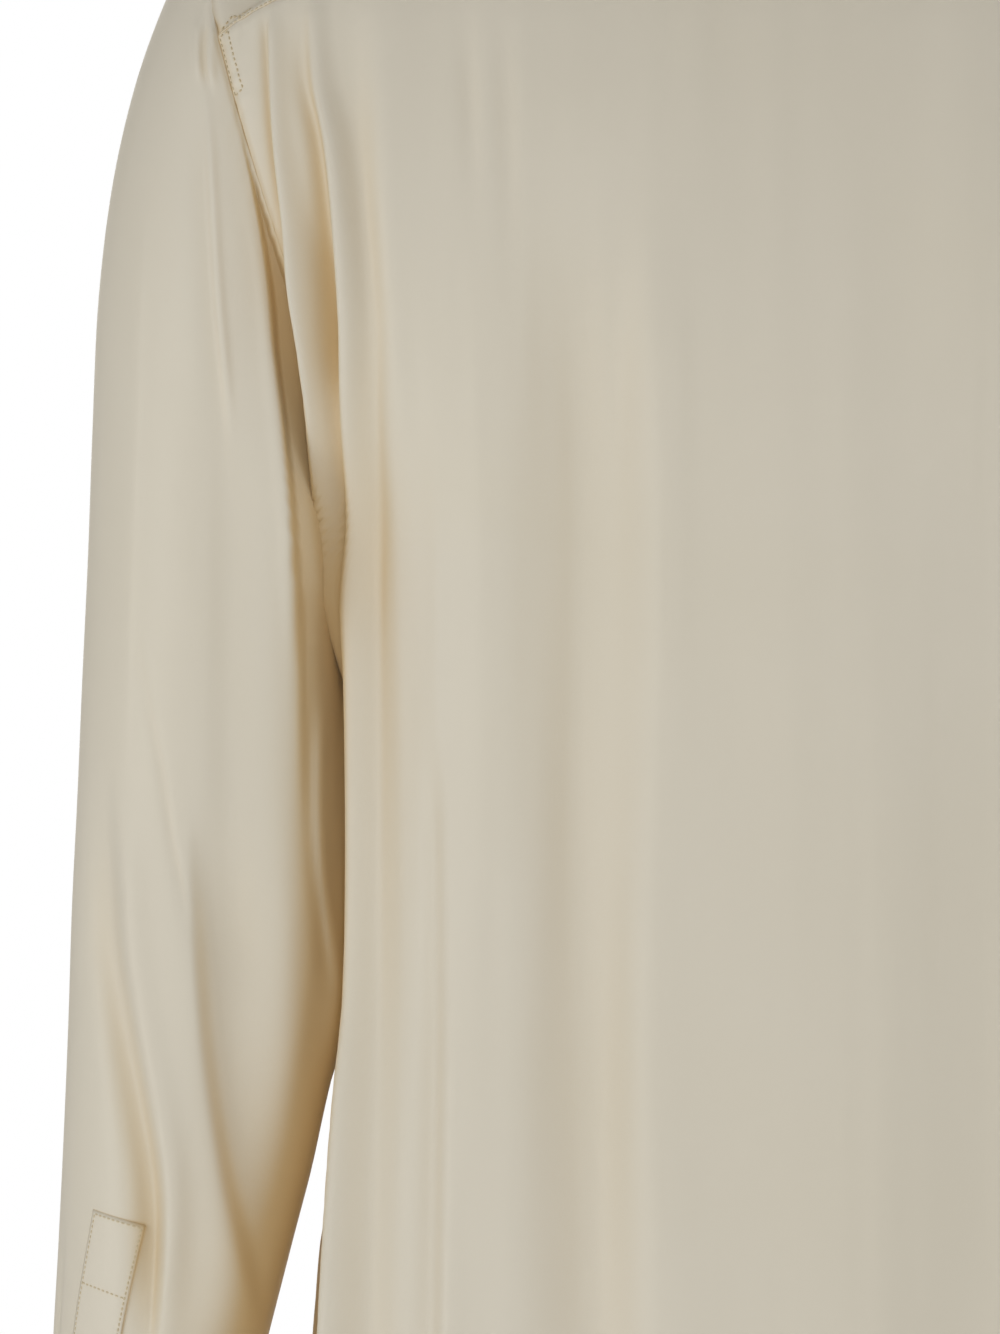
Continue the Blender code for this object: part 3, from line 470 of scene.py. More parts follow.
INNER_RIDGE = [
    FoldLevel(-0.078, 0.1500, 0.0060, 0.0003, 0.0),
    FoldLevel(-0.150, 0.1490, 0.0064, 0.0012, 0.0),
    FoldLevel(-0.220, 0.1500, 0.0070, 0.0014, 0.0),
    FoldLevel(-0.290, 0.1560, 0.0100, 0.0016, 0.0),
    FoldLevel(-0.450, 0.1565, 0.0104, 0.0018, 0.0),
    FoldLevel(-0.720, 0.1570, 0.0110, 0.0020, 0.0),
]
# The groove that runs down beside the side fold, on its outer side.
SIDE_GROOVE = [
    FoldLevel(-0.085, 0.1815, 0.0040, 0.0000, 0.0),
    FoldLevel(-0.108, 0.1790, 0.0042, -0.0016, 0.0),
    FoldLevel(-0.130, 0.1740, 0.0044, -0.0034, 0.0),
    FoldLevel(-0.160, 0.1720, 0.0046, -0.0046, 0.0),
    FoldLevel(-0.195, 0.1706, 0.0046, -0.0058, 0.0),
    FoldLevel(-0.220, 0.1722, 0.0044, -0.0066, 0.0),
    FoldLevel(-0.250, 0.1752, 0.0038, -0.0070, 0.0),
    FoldLevel(-0.280, 0.1800, 0.0042, -0.0060, 0.0),
    FoldLevel(-0.320, 0.1820, 0.0050, -0.0036, 0.0),
    FoldLevel(-0.480, 0.1830, 0.0060, 0.0000, 0.0),
]


def other_side(levels, down=0.012, closer=0.0015, lower=0.88):
    """The same kind of fold on the other side, a little lower, closer and flatter."""
    return [row._replace(z=row.z - down, across=row.across - closer, stands_out=row.stands_out * lower)
            for row in levels]


BACK_SIDE_FOLDS = [(LEFT, ARMHOLE_FOLD), (LEFT, ARMHOLE_TROUGH), (LEFT, SIDE_FOLD), (LEFT, SIDE_GROOVE),
                   (LEFT, INNER_TROUGH), (LEFT, INNER_RIDGE),
                   (RIGHT, other_side(ARMHOLE_FOLD, 0.004, 0.0010)), (RIGHT, other_side(SIDE_FOLD)),
                   (RIGHT, other_side(SIDE_GROOVE))]
print(len(BACK_SIDE_FOLDS), "bending ridges and grooves")

# %% [markdown]
# ## Measuring and smoothing a grid
# Every piece is a grid of points, rows down the cloth and columns across it. A fold has to know how far a
# point lies along the cloth and which way is out, and Blender would give that only once there is a mesh, so
# it is worked out on the grid. Where two tables meet at the underarm, the bend is evened out a little.

# %% Lengths, normals and the underarm
UNDERARM_BAND = 0.035  # metres above and below the underarm
UNDERARM_KEEP = 0.012  # it fades over this width at the panel's own edges
UNDERARM_PASSES = 10


def grid_lengths(grid, axis):
    """How far each point lies along the cloth from the first row or column."""
    step = np.linalg.norm(np.diff(grid, axis=axis), axis=-1)
    start = np.zeros_like(step[:1] if axis == 0 else step[:, :1])
    return np.concatenate([start, np.cumsum(step, axis=axis)], axis=axis)


def grid_normals(grid):
    """Unit normals of a grid of points."""
    down, across = np.gradient(grid, axis=0), np.gradient(grid, axis=1)
    normals = np.cross(across, down)
    return normals / np.maximum(np.linalg.norm(normals, axis=-1, keepdims=True), 1e-12)


def soften_underarm(grid):
    """Evens out the bend at the height of the underarm, except close to the panel's own edges."""
    length = grid_lengths(grid, 1)
    to_edge = np.minimum(length, length[:, -1:] - length)
    near = np.exp(-(((grid[..., 2] - ARMHOLE_LOW_Z) / UNDERARM_BAND) ** 2)) * smooth(to_edge / UNDERARM_KEEP)
    for _ in range(UNDERARM_PASSES):
        even = grid.copy()
        even[1:-1] = (grid[:-2] + 2 * grid[1:-1] + grid[2:]) / 4
        grid = mix(grid, even, near[..., None])
    return grid


print("the underarm is evened out over", UNDERARM_BAND * 1000, "mm")

# %% [markdown]
# ## Pushing the folds out
# A Displace modifier with a texture could raise the folds, but it can't lean them. Moving the points does
# both: out along the normal and sideways along the cloth. Each fold fades at the seams that hold it. Between
# the folds hanging silk is never quite flat, so a few long waves of uneven strength run down it as well.

# %% The fold maker
TOP_FADE = 0.012  # folds rise from the top seam over this length
SEAM_FADE, SIDE_FOLD_FADE = 0.005, 0.0022  # and from the side borders over these
SEWN_BORDER = 0.15  # a border this far out is a seam, one nearer to the middle is a free edge
FOLD_STARTS, FOLD_ENDS = 0.050, 0.090  # lengths over which a long fold grows and dies away
WIDE_FOLD_STARTS = 6  # a wide fold grows over this many of its half widths instead
RIPPLES = [(0.0093, 0.00005), (0.0147, 0.00012), (0.0221, 0.00020), (0.0337, 0.00035), (0.0520, 0.00060)]


def ripples(across, z):
    """Waves of the given lengths and heights, each drifting and changing in strength on its way down."""
    total = np.zeros_like(z)
    for i, (length, height) in enumerate(RIPPLES):
        drift = 1.5 * np.sin(7.0 * z + 1.7 * i) + 0.9 * np.sin(15.0 * z + 2.9 * i)
        strength = 0.6 + 0.4 * np.sin(9.0 * z + 31.0 * across + i)
        total += height * strength * np.sin(2 * math.pi * across / length + drift + 2.3 * i)
    return total


def away_from_seams(across, z, reach, only_sewn):
    """1 in the open cloth, falling to 0 at the top seam and at the side borders."""
    share = smooth((z[0] - z) / TOP_FADE)
    for border in (across[:, :1], across[:, -1:]):
        if abs(border[-1, 0]) > SEWN_BORDER or not only_sewn:
            share = share * smooth(np.abs(border - across) / reach)
    return share


def with_folds(grid, folds, middle_column, side_folds=()):
    """Pushes a panel's points out along its normals by every fold, fading at the seams."""
    length = grid_lengths(grid, 1)
    across = length - length[:, middle_column:middle_column + 1]
    normals = grid_normals(grid)
    outward = np.sign((normals[..., 1] * grid[..., 1]).sum())
    tangent = np.gradient(grid, axis=1)
    tangent /= np.linalg.norm(tangent, axis=-1, keepdims=True)
    z = grid[..., 2]
    out, lean = np.zeros_like(z), np.zeros_like(z)
    for fold in folds:
        run = np.clip((fold.z_top - z) / (fold.z_top - fold.z_foot), 0, 1)
        away = across - mix(fold.across_top, fold.across_foot, run)
        grown = smooth((fold.z_top - z) / max(FOLD_STARTS, WIDE_FOLD_STARTS * fold.half_width))
        ends = grown * smooth((z - fold.z_foot) / FOLD_ENDS)
        shape = np.exp(-((away / fold.half_width) ** 2)) * ends
        out += fold.stands_out * shape
        lean += fold.leans * shape
    side_out, side_lean = np.zeros_like(z), np.zeros_like(z)
    for side, levels in side_folds:
        middle, half_width, height, leans = (read_table(levels, "z", name, z)
                                             for name in FoldLevel._fields[1:])
        shape = np.exp(-(((across - side * middle) / half_width) ** 2))
        side_out += height * shape
        side_lean += side * leans * shape
    fade = away_from_seams(across, z, SEAM_FADE, only_sewn=True)
    side_fade = away_from_seams(across, z, SIDE_FOLD_FADE, only_sewn=False)
    out = (out + ripples(across, z)) * fade + side_out * side_fade
    lean = lean * fade + side_lean * side_fade
    return grid + normals * (outward * out)[..., None] + tangent * lean[..., None]


print("ripples", [round(length * 1000, 1) for length, _ in RIPPLES], "mm long")

# %% [markdown]
# ## From a grid of points to a sheet of silk
# Each grid becomes a mesh with one square between four points. Two skins could be modelled, one for each side
# of the cloth, but Solidify does that with one number and closes the edges too. It gives the thickness of a
# double layer of thin silk. A UV map in metres carries the weave, so the threads stay the same size on every
# piece and follow its grain.

# %% The sheet maker
SILK_THICK = 0.0005
SAME_POINT = 1e-6  # points closer than this are one


def mesh_piece(name, vertices, faces, finish):
    """An object with a smooth mesh of these points and faces, in one material."""
    mesh = bpy.data.meshes.new(name)
    mesh.from_pydata(np.asarray(vertices).reshape(-1, 3).tolist(), [], faces)
    mesh.shade_smooth()
    mesh.materials.append(finish)
    piece = bpy.data.objects.new(name, mesh)
    bpy.context.scene.collection.objects.link(piece)
    return piece


def silk_sheet(name, grid, closed=False, thick=SILK_THICK):
    """A sheet on a grid of points, closed round a tube where asked, with its weave's UV map."""
    rows, columns = grid.shape[:2]
    if closed:
        grid = np.concatenate([grid, grid[:, :1]], axis=1)
        columns += 1
    index = np.arange(rows * columns).reshape(rows, columns)
    corners = np.stack([index[:-1, :-1], index[1:, :-1], index[1:, 1:], index[:-1, 1:]], axis=-1)
    corners = corners.reshape(-1, 4)
    uv = np.stack([grid_lengths(grid, 1), grid_lengths(grid, 0)], axis=-1).reshape(-1, 2)
    piece = mesh_piece(name, grid, corners.tolist(), silk)
    layer = piece.data.uv_layers.new(name="cloth")
    layer.data.foreach_set("uv", uv[corners.reshape(-1)].astype(np.float32).ravel())
    if closed:
        joined = bmesh.new()
        joined.from_mesh(piece.data)
        bmesh.ops.remove_doubles(joined, verts=joined.verts, dist=SAME_POINT)
        joined.to_mesh(piece.data)
        joined.free()
    wall = piece.modifiers.new("Thickness", "SOLIDIFY")
    wall.thickness = thick
    wall.offset = 0.0
    wall.use_rim = True
    return piece


def finish_sheet(piece, node):
    """Hides the solid that the sheet stands for, hangs the sheet from the root and prints its faces."""
    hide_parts(node)
    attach(piece, "root")
    print("sheet", piece.name, len(piece.data.polygons), "faces")


print("sheets are", SILK_THICK * 1000, "mm thick")

# %% [markdown]
# ## Seams
# At a seam the two raw edges turn inwards and are sewn together, which pulls a narrow valley along the line.
# The thread also holds the cloth a little short, so it puckers beside the seam. A tube along the seam could
# stand for both, but it would look like piping. Letting each panel's last millimetres roll inwards and ripple
# draws them without any extra piece.

# %% Rolled and puckered edges
SEAM_ROLL = 0.0018  # the cloth starts to turn in this far from the seam
SEAM_DEPTH = 0.0007
PUCKER_HEIGHT, PUCKER_REACH = 0.00011, 0.007  # of each wave, and how far from the seam the puckers show
PUCKER_WAVES = [(620.0, 41.0), (790.0, 54.0), (960.0, 67.0)]  # radians a metre of each wave and of its drift
PUCKER_STARTS = 0.0015  # the stitches hold the cloth flat up to this far from the seam


def outward_normals(grid, middle=(0.0, 0.0)):
    """Normals that point away from an upright line through the body or a sleeve."""
    normals = grid_normals(grid)
    away = grid[..., :2] - np.asarray(middle)
    return normals if (normals[..., :2] * away).sum() > 0 else -normals


def edge_distances(grid):
    """How far every point lies from each border, measured along the cloth."""
    down, across = grid_lengths(grid, 0), grid_lengths(grid, 1)
    return {"first_row": down, "last_row": down[-1:] - down, "first_column": across,
            "last_column": across[:, -1:] - across}


def roll_edges(grid, edges, middle=(0.0, 0.0)):
    """Turns the named borders of a panel inwards: first_row, last_row, first_column, last_column."""
    far = edge_distances(grid)
    drop = np.zeros(grid.shape[:2])
    for edge in edges:
        drop = np.maximum(drop, SEAM_DEPTH * np.exp(-((far[edge] / SEAM_ROLL) ** 2)))
    return grid - outward_normals(grid, middle) * drop[..., None]


def pucker_edges(grid, edges, middle=(0.0, 0.0)):
    """Small uneven ripples where a seam holds the cloth a little short."""
    far = edge_distances(grid)
    ripple = np.zeros(grid.shape[:2])
    for edge in edges:
        along = far["first_column"] if edge.endswith("row") else far["first_row"]
        waves = sum(np.sin(along * wave + 2.1 * i + 3.0 * np.sin(along * drift))
                    for i, (wave, drift) in enumerate(PUCKER_WAVES))
        near = np.exp(-((far[edge] / PUCKER_REACH) ** 2)) * smooth(far[edge] / PUCKER_STARTS)
        ripple += PUCKER_HEIGHT * waves * near
    return grid + outward_normals(grid, middle) * ripple[..., None]


print("seams roll in over", SEAM_ROLL * 1000, "mm")

# %% [markdown]
# ## The back
# The back is one panel. Its rows start at the yoke seam, run beside the armholes to the underarm and go on
# to the hem. Points stand closer together near both edges, where the folds are narrow. A cloth simulation
# would fold it too, but never in the same places, so the folds are listed one by one.

# %% The back panel
BACK_ROWS, BACK_HALF_COLUMNS = 190, 118
SIDE_CROWD, SEAM_CROWD = 1.25, 0.7  # how much closer points stand near the sides and near the seams


def crowded(count, crowd=SEAM_CROWD):
    """0 to 1, closer together at both ends, where the seams are."""
    even = np.linspace(0, 1, count)
    return even - crowd * np.sin(2 * math.pi * even) / (2 * math.pi)


def back_columns():
    """-1 to 1 across the back, closer together near the sides."""
    half = 1 - (1 - np.linspace(0, 1, BACK_HALF_COLUMNS + 1)) ** SIDE_CROWD
    return np.concatenate([-half[:0:-1], half])


def panel_heights(top, foot, rows, highest):
    """Heights of a panel's rows: from its top border to the underarm, and on to the hem."""
    down = crowded(rows)[:, None]
    beside = (highest - ARMHOLE_LOW_Z) / (highest - HEM_Z)
    upper = mix(top, ARMHOLE_LOW_Z, np.clip(down / beside, 0, 1))
    lower = mix(ARMHOLE_LOW_Z, foot, np.clip((down - beside) / (1 - beside), 0, 1))
    return np.where(down < beside, upper, lower)


def back_seam_z(across):
    """The yoke seam sinks towards the armholes; a few rounds settle its height and place together."""
    z = np.full_like(across, YOKE_BACK_Z)
    for _ in range(5):
        angle = body_oval(z, True)[2]
        x = on_body(across * angle, z, True)[..., 0]
        z = YOKE_BACK_Z - YOKE_BACK_DROP * (np.abs(x) / SHOULDER_HALF) ** 5
    return z


def back_grid():
    """Rows from the yoke seam down to the hem, columns from the right side to the left."""
    across = back_columns()
    z = panel_heights(back_seam_z(across), hem_z(across * math.pi / 2), BACK_ROWS, YOKE_BACK_Z)
    return on_body(across * body_oval(z, True)[2], z, True)


BACK_SEAMS = ("first_row", "first_column", "last_column")
back_points = with_folds(soften_underarm(back_grid()), BACK_FOLDS, BACK_HALF_COLUMNS, BACK_SIDE_FOLDS)
back_points = roll_edges(pucker_edges(back_points, BACK_SEAMS), BACK_SEAMS)
finish_sheet(silk_sheet("back_panel", back_points), "back")

# %% [markdown]
# ## The fronts
# Each front runs from the neck and the front yoke seam down to the hem. The left one reaches a little past
# the centre, under the placket. One sheet with the neck cut out of it would leave ragged steps along the neck
# line, so the top border bends from the neck into the yoke seam, and the columns below spread out until they
# are even again.

# %% The two fronts
FRONT_ROWS, FRONT_COLUMNS = 170, 96
NECK_SHARE = 0.30  # share of the top border that lies on the neck
FRONT_STARTS_X = {LEFT: -0.012, RIGHT: 0.0126}  # measured towards each front's own side
EVEN_AFTER = 0.16  # metres below the top border where the columns are even again
YOKE_SEAM_EASE = 0.3  # share of the yoke seam over which it leaves the neck for the body's form


def front_surface(x, z):
    """Points of the body's form in front, at a distance from the centre line."""
    return on_body(np.arcsin(x / body_oval(z, False)[0]), z, False)


def front_yoke_seam(share):
    """The left front's yoke seam, from the neck to the armhole."""
    start = neck_points(np.array(NECK_YOKE_ANGLE))
    end = armhole_points(LEFT, np.array(YOKE_FRONT_ANGLE))
    line = mix(start, end, np.asarray(share)[..., None])
    flat = front_surface(line[..., 0], line[..., 2])
    off_neck = start[1] - front_surface(start[0], start[2])[1]
    line[..., 1] = flat[..., 1] + off_neck * (1 - smooth(share / YOKE_SEAM_EASE))
    return line


def front_grid(side, centre_x):
    """Rows from the neck and the yoke seam down to the hem, columns from the centre to the side."""
    share = np.linspace(0, 1, FRONT_COLUMNS)
    neck_turn = math.pi - math.asin(abs(centre_x) / NECK_HALF) * (1 if centre_x >= 0 else -1)
    neck = neck_points(mix(neck_turn, NECK_YOKE_ANGLE, np.clip(share / NECK_SHARE, 0, 1)))
    seam = front_yoke_seam(np.clip((share - NECK_SHARE) / (1 - NECK_SHARE), 0, 1))
    top = np.where((share < NECK_SHARE)[:, None], neck, seam)
    half_width, _, edge = body_oval(top[:, 2], False)
    start = np.arcsin(centre_x / half_width)
    top_share = (np.arcsin(top[:, 0] / half_width) - start) / (edge - start)
    z = panel_heights(top[:, 2], hem_z(share * math.pi / 2), FRONT_ROWS, top[-1, 2])
    half_width, _, edge = body_oval(z, False)
    start = np.arcsin(centre_x / half_width)
    place = mix(top_share, share, smooth((top[:, 2] - z) / EVEN_AFTER))
    grid = on_body(mix(start, edge, place), z, False)
    grid[0] = top
    return grid * [side, 1, 1]


front_points = {}
for side, word in SIDES:
    plain = front_grid(side, FRONT_STARTS_X[side])
    signed = [fold._replace(across_top=side * fold.across_top, across_foot=side * fold.across_foot,
                            leans=side * fold.leans) for fold in FRONT_FOLDS]
    middle = int(np.argmin(np.abs(plain[-1, :, 0])))
    folded = with_folds(plain, signed, middle)
    front_points[side] = roll_edges(folded, ("first_row", "last_column"))
    front = silk_sheet(f"front_panel_{word}", front_points[side])
    finish_sheet(front, f"front_{word}")

# %% [markdown]
# ## The yoke
# The yoke covers the shoulders and meets the fronts a little before the shoulder line. A square grid would
# need holes and steps for the neck, so its points fan out from the neck to its border: armhole, back seam,
# armhole. The fan would crease at the border's corners, so the points on the neck are shared out to face
# them, and the cloth between both borders is smoothed afterwards.

# %% The yoke
YOKE_CROWN = 0.006  # how far the cloth bulges over the shoulder
YOKE_CORNER = 6 / 50  # where the corner lies along the border, as on the solid yoke
YOKE_FRONT_EASE = 0.10  # share of the border over which the front edge's own line fades
YOKE_BEHIND_STARTS = 0.3  # share of the way to the corner where the crown starts to push back as well
NECK_CORNER_ANGLE = math.radians(60)
YOKE_ROWS, YOKE_ARM_COLUMNS = 44, 34
YOKE_PASSES, YOKE_HELD = 90, 0.25  # rounds of smoothing, and the share that each border holds back


def yoke_border():
    """The yoke's outer border: the left armhole, the back seam and the right armhole."""
    back_turn = float(armhole_turn_at(YOKE_BACK_Z - YOKE_BACK_DROP))
    arm_turns = np.linspace(YOKE_FRONT_ANGLE, back_turn, YOKE_ARM_COLUMNS)
    across = back_columns()[::-1][1:-1]
    z = back_seam_z(across)
    seam = on_body(across * body_oval(z, True)[2], z, True)
    return np.concatenate([armhole_points(LEFT, arm_turns), seam, armhole_points(RIGHT, arm_turns)[::-1]])


def yoke_grid():
    """Rows from the neck out to the border, columns from one front end round the back to the other."""
    border = yoke_border()
    share = np.linspace(0, 1, len(border))
    corner = (YOKE_ARM_COLUMNS - 1) / (len(border) - 1)
    from_end = np.minimum(share, 1 - share)
    turn = np.where(from_end < corner, mix(NECK_YOKE_ANGLE, NECK_CORNER_ANGLE, from_end / corner),
                    mix(NECK_CORNER_ANGLE, 0, (from_end - corner) / (0.5 - corner)))
    side = np.where(share < 0.5, LEFT, RIGHT)
    inner = neck_points(side * turn)
    place = np.where(from_end < corner, from_end / corner * YOKE_CORNER,
                     YOKE_CORNER + (from_end - corner) / (0.5 - corner) * (0.5 - YOKE_CORNER))
    behind = smooth((place - YOKE_BEHIND_STARTS * YOKE_CORNER) / YOKE_CORNER)
    out = np.linspace(0, 1, YOKE_ROWS)[:, None]
    crown = 4 * out * (1 - out)
    grid = mix(inner[None], border[None], out[..., None])
    grid[..., 1] += crown * YOKE_CROWN * behind
    grid[..., 2] += crown * YOKE_CROWN
    end_line = mix(neck_points(np.array(NECK_YOKE_ANGLE)), border[0], out)
    end_line[:, 2] += crown[:, 0] * YOKE_CROWN
    shift = front_yoke_seam(out[:, 0]) - end_line
    near_end = 1 - smooth(place / YOKE_FRONT_EASE)
    grid[..., 0] += side * near_end * shift[:, :1]
    grid[..., 1:] += near_end[None, :, None] * shift[:, None, 1:]
    return grid[:, ::-1]


def relaxed(grid):
    """Lets the cloth between two borders round off its sharp bends; the borders stay."""
    grid = grid.copy()
    out = np.linspace(0, 1, len(grid))[1:-1, None, None]
    free = 0.5 * smooth(out / YOKE_HELD) * smooth((1 - out) / YOKE_HELD)
    for _ in range(YOKE_PASSES):
        grid[1:-1, 1:-1] += free * ((grid[1:-1, :-2] + grid[1:-1, 2:]) / 2 - grid[1:-1, 1:-1])
    return grid


yoke_points = roll_edges(relaxed(yoke_grid()), ("last_row", "first_column", "last_column"))
finish_sheet(silk_sheet("yoke_panel", yoke_points), "yoke")

# %% [markdown]
# ## The sleeves
# A shirt sleeve is a wide tube whose top is cut as a low curve, so on a hanging arm it falls straight from
# the shoulder and the spare cloth gathers into slanting drag lines. A pipe along a curve would meet the
# armhole at the wrong slant. Here the tube is a fan of rings: the first one is the armhole seam itself, the
# next ones swing round the underarm until they lie flat.

# %% Sizes of the sleeves
SleeveRing = namedtuple("SleeveRing", "outer_x outer_z inner_x inner_z half_depth middle_y")
SLEEVE_RINGS = [
    SleeveRing(0.2060, -0.048, 0.1530, -0.2740, 0.0600, 0.0020),
    SleeveRing(0.2160, -0.064, 0.1590, -0.2775, 0.0605, 0.0020),
    SleeveRing(0.2246, -0.081, 0.1622, -0.2825, 0.0608, 0.0018),
    SleeveRing(0.2345, -0.109, 0.1634, -0.2880, 0.0605, 0.0015),
    SleeveRing(0.2425, -0.144, 0.1637, -0.2940, 0.0595, 0.0010),
    SleeveRing(0.2475, -0.185, 0.1636, -0.3010, 0.0580, 0.0005),
    SleeveRing(0.2496, -0.230, 0.1634, -0.3120, 0.0565, 0.0000),
    SleeveRing(0.2512, -0.275, 0.1632, -0.3300, 0.0545, -0.0005),
    SleeveRing(0.2533, -0.320, 0.1630, -0.3530, 0.0525, -0.0015),
    SleeveRing(0.2550, -0.360, 0.1630, -0.3800, 0.0510, -0.0030),
    SleeveRing(0.2570, -0.400, 0.1628, -0.4120, 0.0498, -0.0055),
    SleeveRing(0.2583, -0.440, 0.1630, -0.4450, 0.0488, -0.0085),
    SleeveRing(0.2600, -0.480, 0.1695, -0.4810, 0.0478, -0.0125),
    SleeveRing(0.2620, -0.520, 0.1795, -0.5200, 0.0468, -0.0170),
    SleeveRing(0.2640, -0.555, 0.1885, -0.5550, 0.0450, -0.0215),
    SleeveRing(0.2648, -0.585, 0.1960, -0.5850, 0.0415, -0.0255),
    SleeveRing(0.2650, -0.604, 0.2010, -0.6040, 0.0365, -0.0280),
    SleeveRing(0.2648, -0.6162, 0.2034, -0.6162, 0.0326, -0.0293),
]
SLEEVE_RADIUS = 0.048  # turns an angle round the sleeve into a length along its cloth
CUFF_TOP_Z, CUFF_LOW_Z = -0.615, -0.675
CUFF_RINGS = [
    SleeveRing(0.2670, CUFF_TOP_Z, 0.2010, CUFF_TOP_Z, 0.0350, -0.0292),
    SleeveRing(0.2680, -0.632, 0.2020, -0.6320, 0.0350, -0.0310),
    SleeveRing(0.2688, -0.654, 0.2030, -0.6540, 0.0348, -0.0335),
    SleeveRing(0.2694, CUFF_LOW_Z, 0.2038, CUFF_LOW_Z, 0.0345, -0.0355),
]


def ring_values(rings, column, along):
    """One column of a table of rings, at any place from its first row, 0, to its last, 1."""
    return read_column(range(len(rings)), [getattr(ring, column) for ring in rings], along * (len(rings) - 1))


def ring_points(rings, side, turn, along, bigger=0.0, corner=0.0):
    """Points of a ring; corner makes its quarter behind and inside squarer."""
    turn, along = np.broadcast_arrays(np.asarray(turn, float), np.asarray(along, float))
    power = 2 + corner * ((np.cos(turn) < 0) & (np.sin(turn) > 0))
    reach = (np.abs(np.cos(turn)) ** power + np.abs(np.sin(turn)) ** power) ** (-1 / power)
    outer_x, outer_z = (ring_values(rings, name, along) for name in ("outer_x", "outer_z"))
    inner_x, inner_z = (ring_values(rings, name, along) for name in ("inner_x", "inner_z"))
    half_x, half_z = (outer_x - inner_x) / 2, (outer_z - inner_z) / 2
    grow = 1 + bigger / np.hypot(half_x, half_z)
    x = (outer_x + inner_x) / 2 + half_x * grow * reach * np.cos(turn)
    z = (outer_z + inner_z) / 2 + half_z * grow * reach * np.cos(turn)
    depth = (ring_values(rings, "half_depth", along) + bigger) * reach
    return points(side * x, ring_values(rings, "middle_y", along) + depth * np.sin(turn), z)


print(len(SLEEVE_RINGS), "rings down a sleeve,", len(CUFF_RINGS), "down a cuff")

# %% [markdown]
# ## Folds round the sleeve
# The creases at the elbow and above the cuff slant round the arm. They could be grooves cut by a tube, but a
# row each is easier to move: how far along the sleeve and at which angle round it the fold starts, passes and
# ends (0 degrees outside, 90 behind, 180 inside), half its width, and how far it stands out. The right sleeve
# gets the same kinds of fold a little shifted, so the two are no mirror images.

# %% Folds round the sleeves
SleeveFold = namedtuple("SleeveFold", "name starts turn_top turn_mid stops turn_foot half_width stands_out")
SLEEVE_FOLDS = [
    SleeveFold("long soft fall", 0.22, 100, 100, 0.66, 108, 0.0090, -0.0018),
    SleeveFold("outer edge crease", 0.74, 16, 12, 0.96, 10, 0.0045, -0.0016),
    SleeveFold("front elbow crease", 0.40, 300, 280, 0.80, 255, 0.0065, -0.0045),
    SleeveFold("front elbow ridge", 0.42, 284, 262, 0.86, 240, 0.0070, 0.0036),
    SleeveFold("front drag line", 0.10, 262, 274, 0.50, 286, 0.0060, -0.0022),
    SleeveFold("front shoulder line", 0.08, 318, 300, 0.34, 284, 0.0050, -0.0014),
    SleeveFold("front cuff crease", 0.76, 322, 314, 0.99, 306, 0.0045, -0.0034),
    SleeveFold("front cuff rise", 0.78, 300, 296, 0.99, 292, 0.0060, 0.0024),
    SleeveFold("inner cuff crease", 0.72, 200, 208, 0.99, 214, 0.0055, -0.0030),
    SleeveFold("inner cuff rise", 0.74, 226, 232, 0.99, 236, 0.0060, 0.0022),
]
RIGHT_SHIFT_DEGREES, RIGHT_SHIFT_ALONG = 7, 0.02
FOLD_GROWS, FOLD_DIES = 0.30, 0.22  # shares of a fold's length over which it rises and sinks again


def sleeve_fold_height(side, turn, along):
    """How far the folds round the sleeve stand out."""
    degrees = np.degrees(turn) % 360
    if side == RIGHT:
        degrees, along = degrees + RIGHT_SHIFT_DEGREES, along + RIGHT_SHIFT_ALONG
    total = np.zeros_like(degrees)
    for fold in SLEEVE_FOLDS:
        run = np.clip((along - fold.starts) / (fold.stops - fold.starts), 0, 1)
        bend = fold.turn_mid - (fold.turn_top + fold.turn_foot) / 2
        middle = mix(fold.turn_top, fold.turn_foot, run) + bend * 4 * run * (1 - run)
        away = np.radians((degrees - middle + 180) % 360 - 180) * SLEEVE_RADIUS
        ends = smooth(run / FOLD_GROWS) * smooth((1 - run) / FOLD_DIES)
        total += fold.stands_out * ends * np.exp(-((away / fold.half_width) ** 2))
    return total


print(len(SLEEVE_FOLDS), "folds round each sleeve")

# %% [markdown]
# ## Folds behind the sleeve
# Behind, the sleeve's inner side leans on the body, and beside the armhole its cloth turns in over a sharp
# edge, so that a pocket of slack hangs there. An angle round the tube says little about such places, since
# the tube itself bends. These folds are placed as a fitter sees them: by height and by distance from the
# blouse's middle.

# %% Folds behind the sleeves
Lean = namedtuple("Lean", "z stands_out")
LEANING_SIDE = [Lean(-0.275, 0.0), Lean(-0.292, 0.0050), Lean(-0.310, 0.0085), Lean(-0.420, 0.0080),
                Lean(-0.445, 0.0035), Lean(-0.462, 0.0), Lean(-0.500, 0.0)]
Pocket = namedtuple("Pocket", "z edge_x depth")
POCKET = [
    Pocket(-0.128, 0.1970, 0.0),
    Pocket(-0.142, 0.1939, 0.0016),
    Pocket(-0.1665, 0.1892, 0.0042),
    Pocket(-0.185, 0.1866, 0.0072),
    Pocket(-0.203, 0.1853, 0.0084),
    Pocket(-0.2315, 0.1820, 0.0094),
    Pocket(-0.258, 0.1794, 0.0108),
    Pocket(-0.284, 0.1778, 0.0120),
    Pocket(-0.305, 0.1768, 0.0088),
    Pocket(-0.332, 0.1760, 0.0045),
    Pocket(-0.372, 0.1752, 0.0),
]
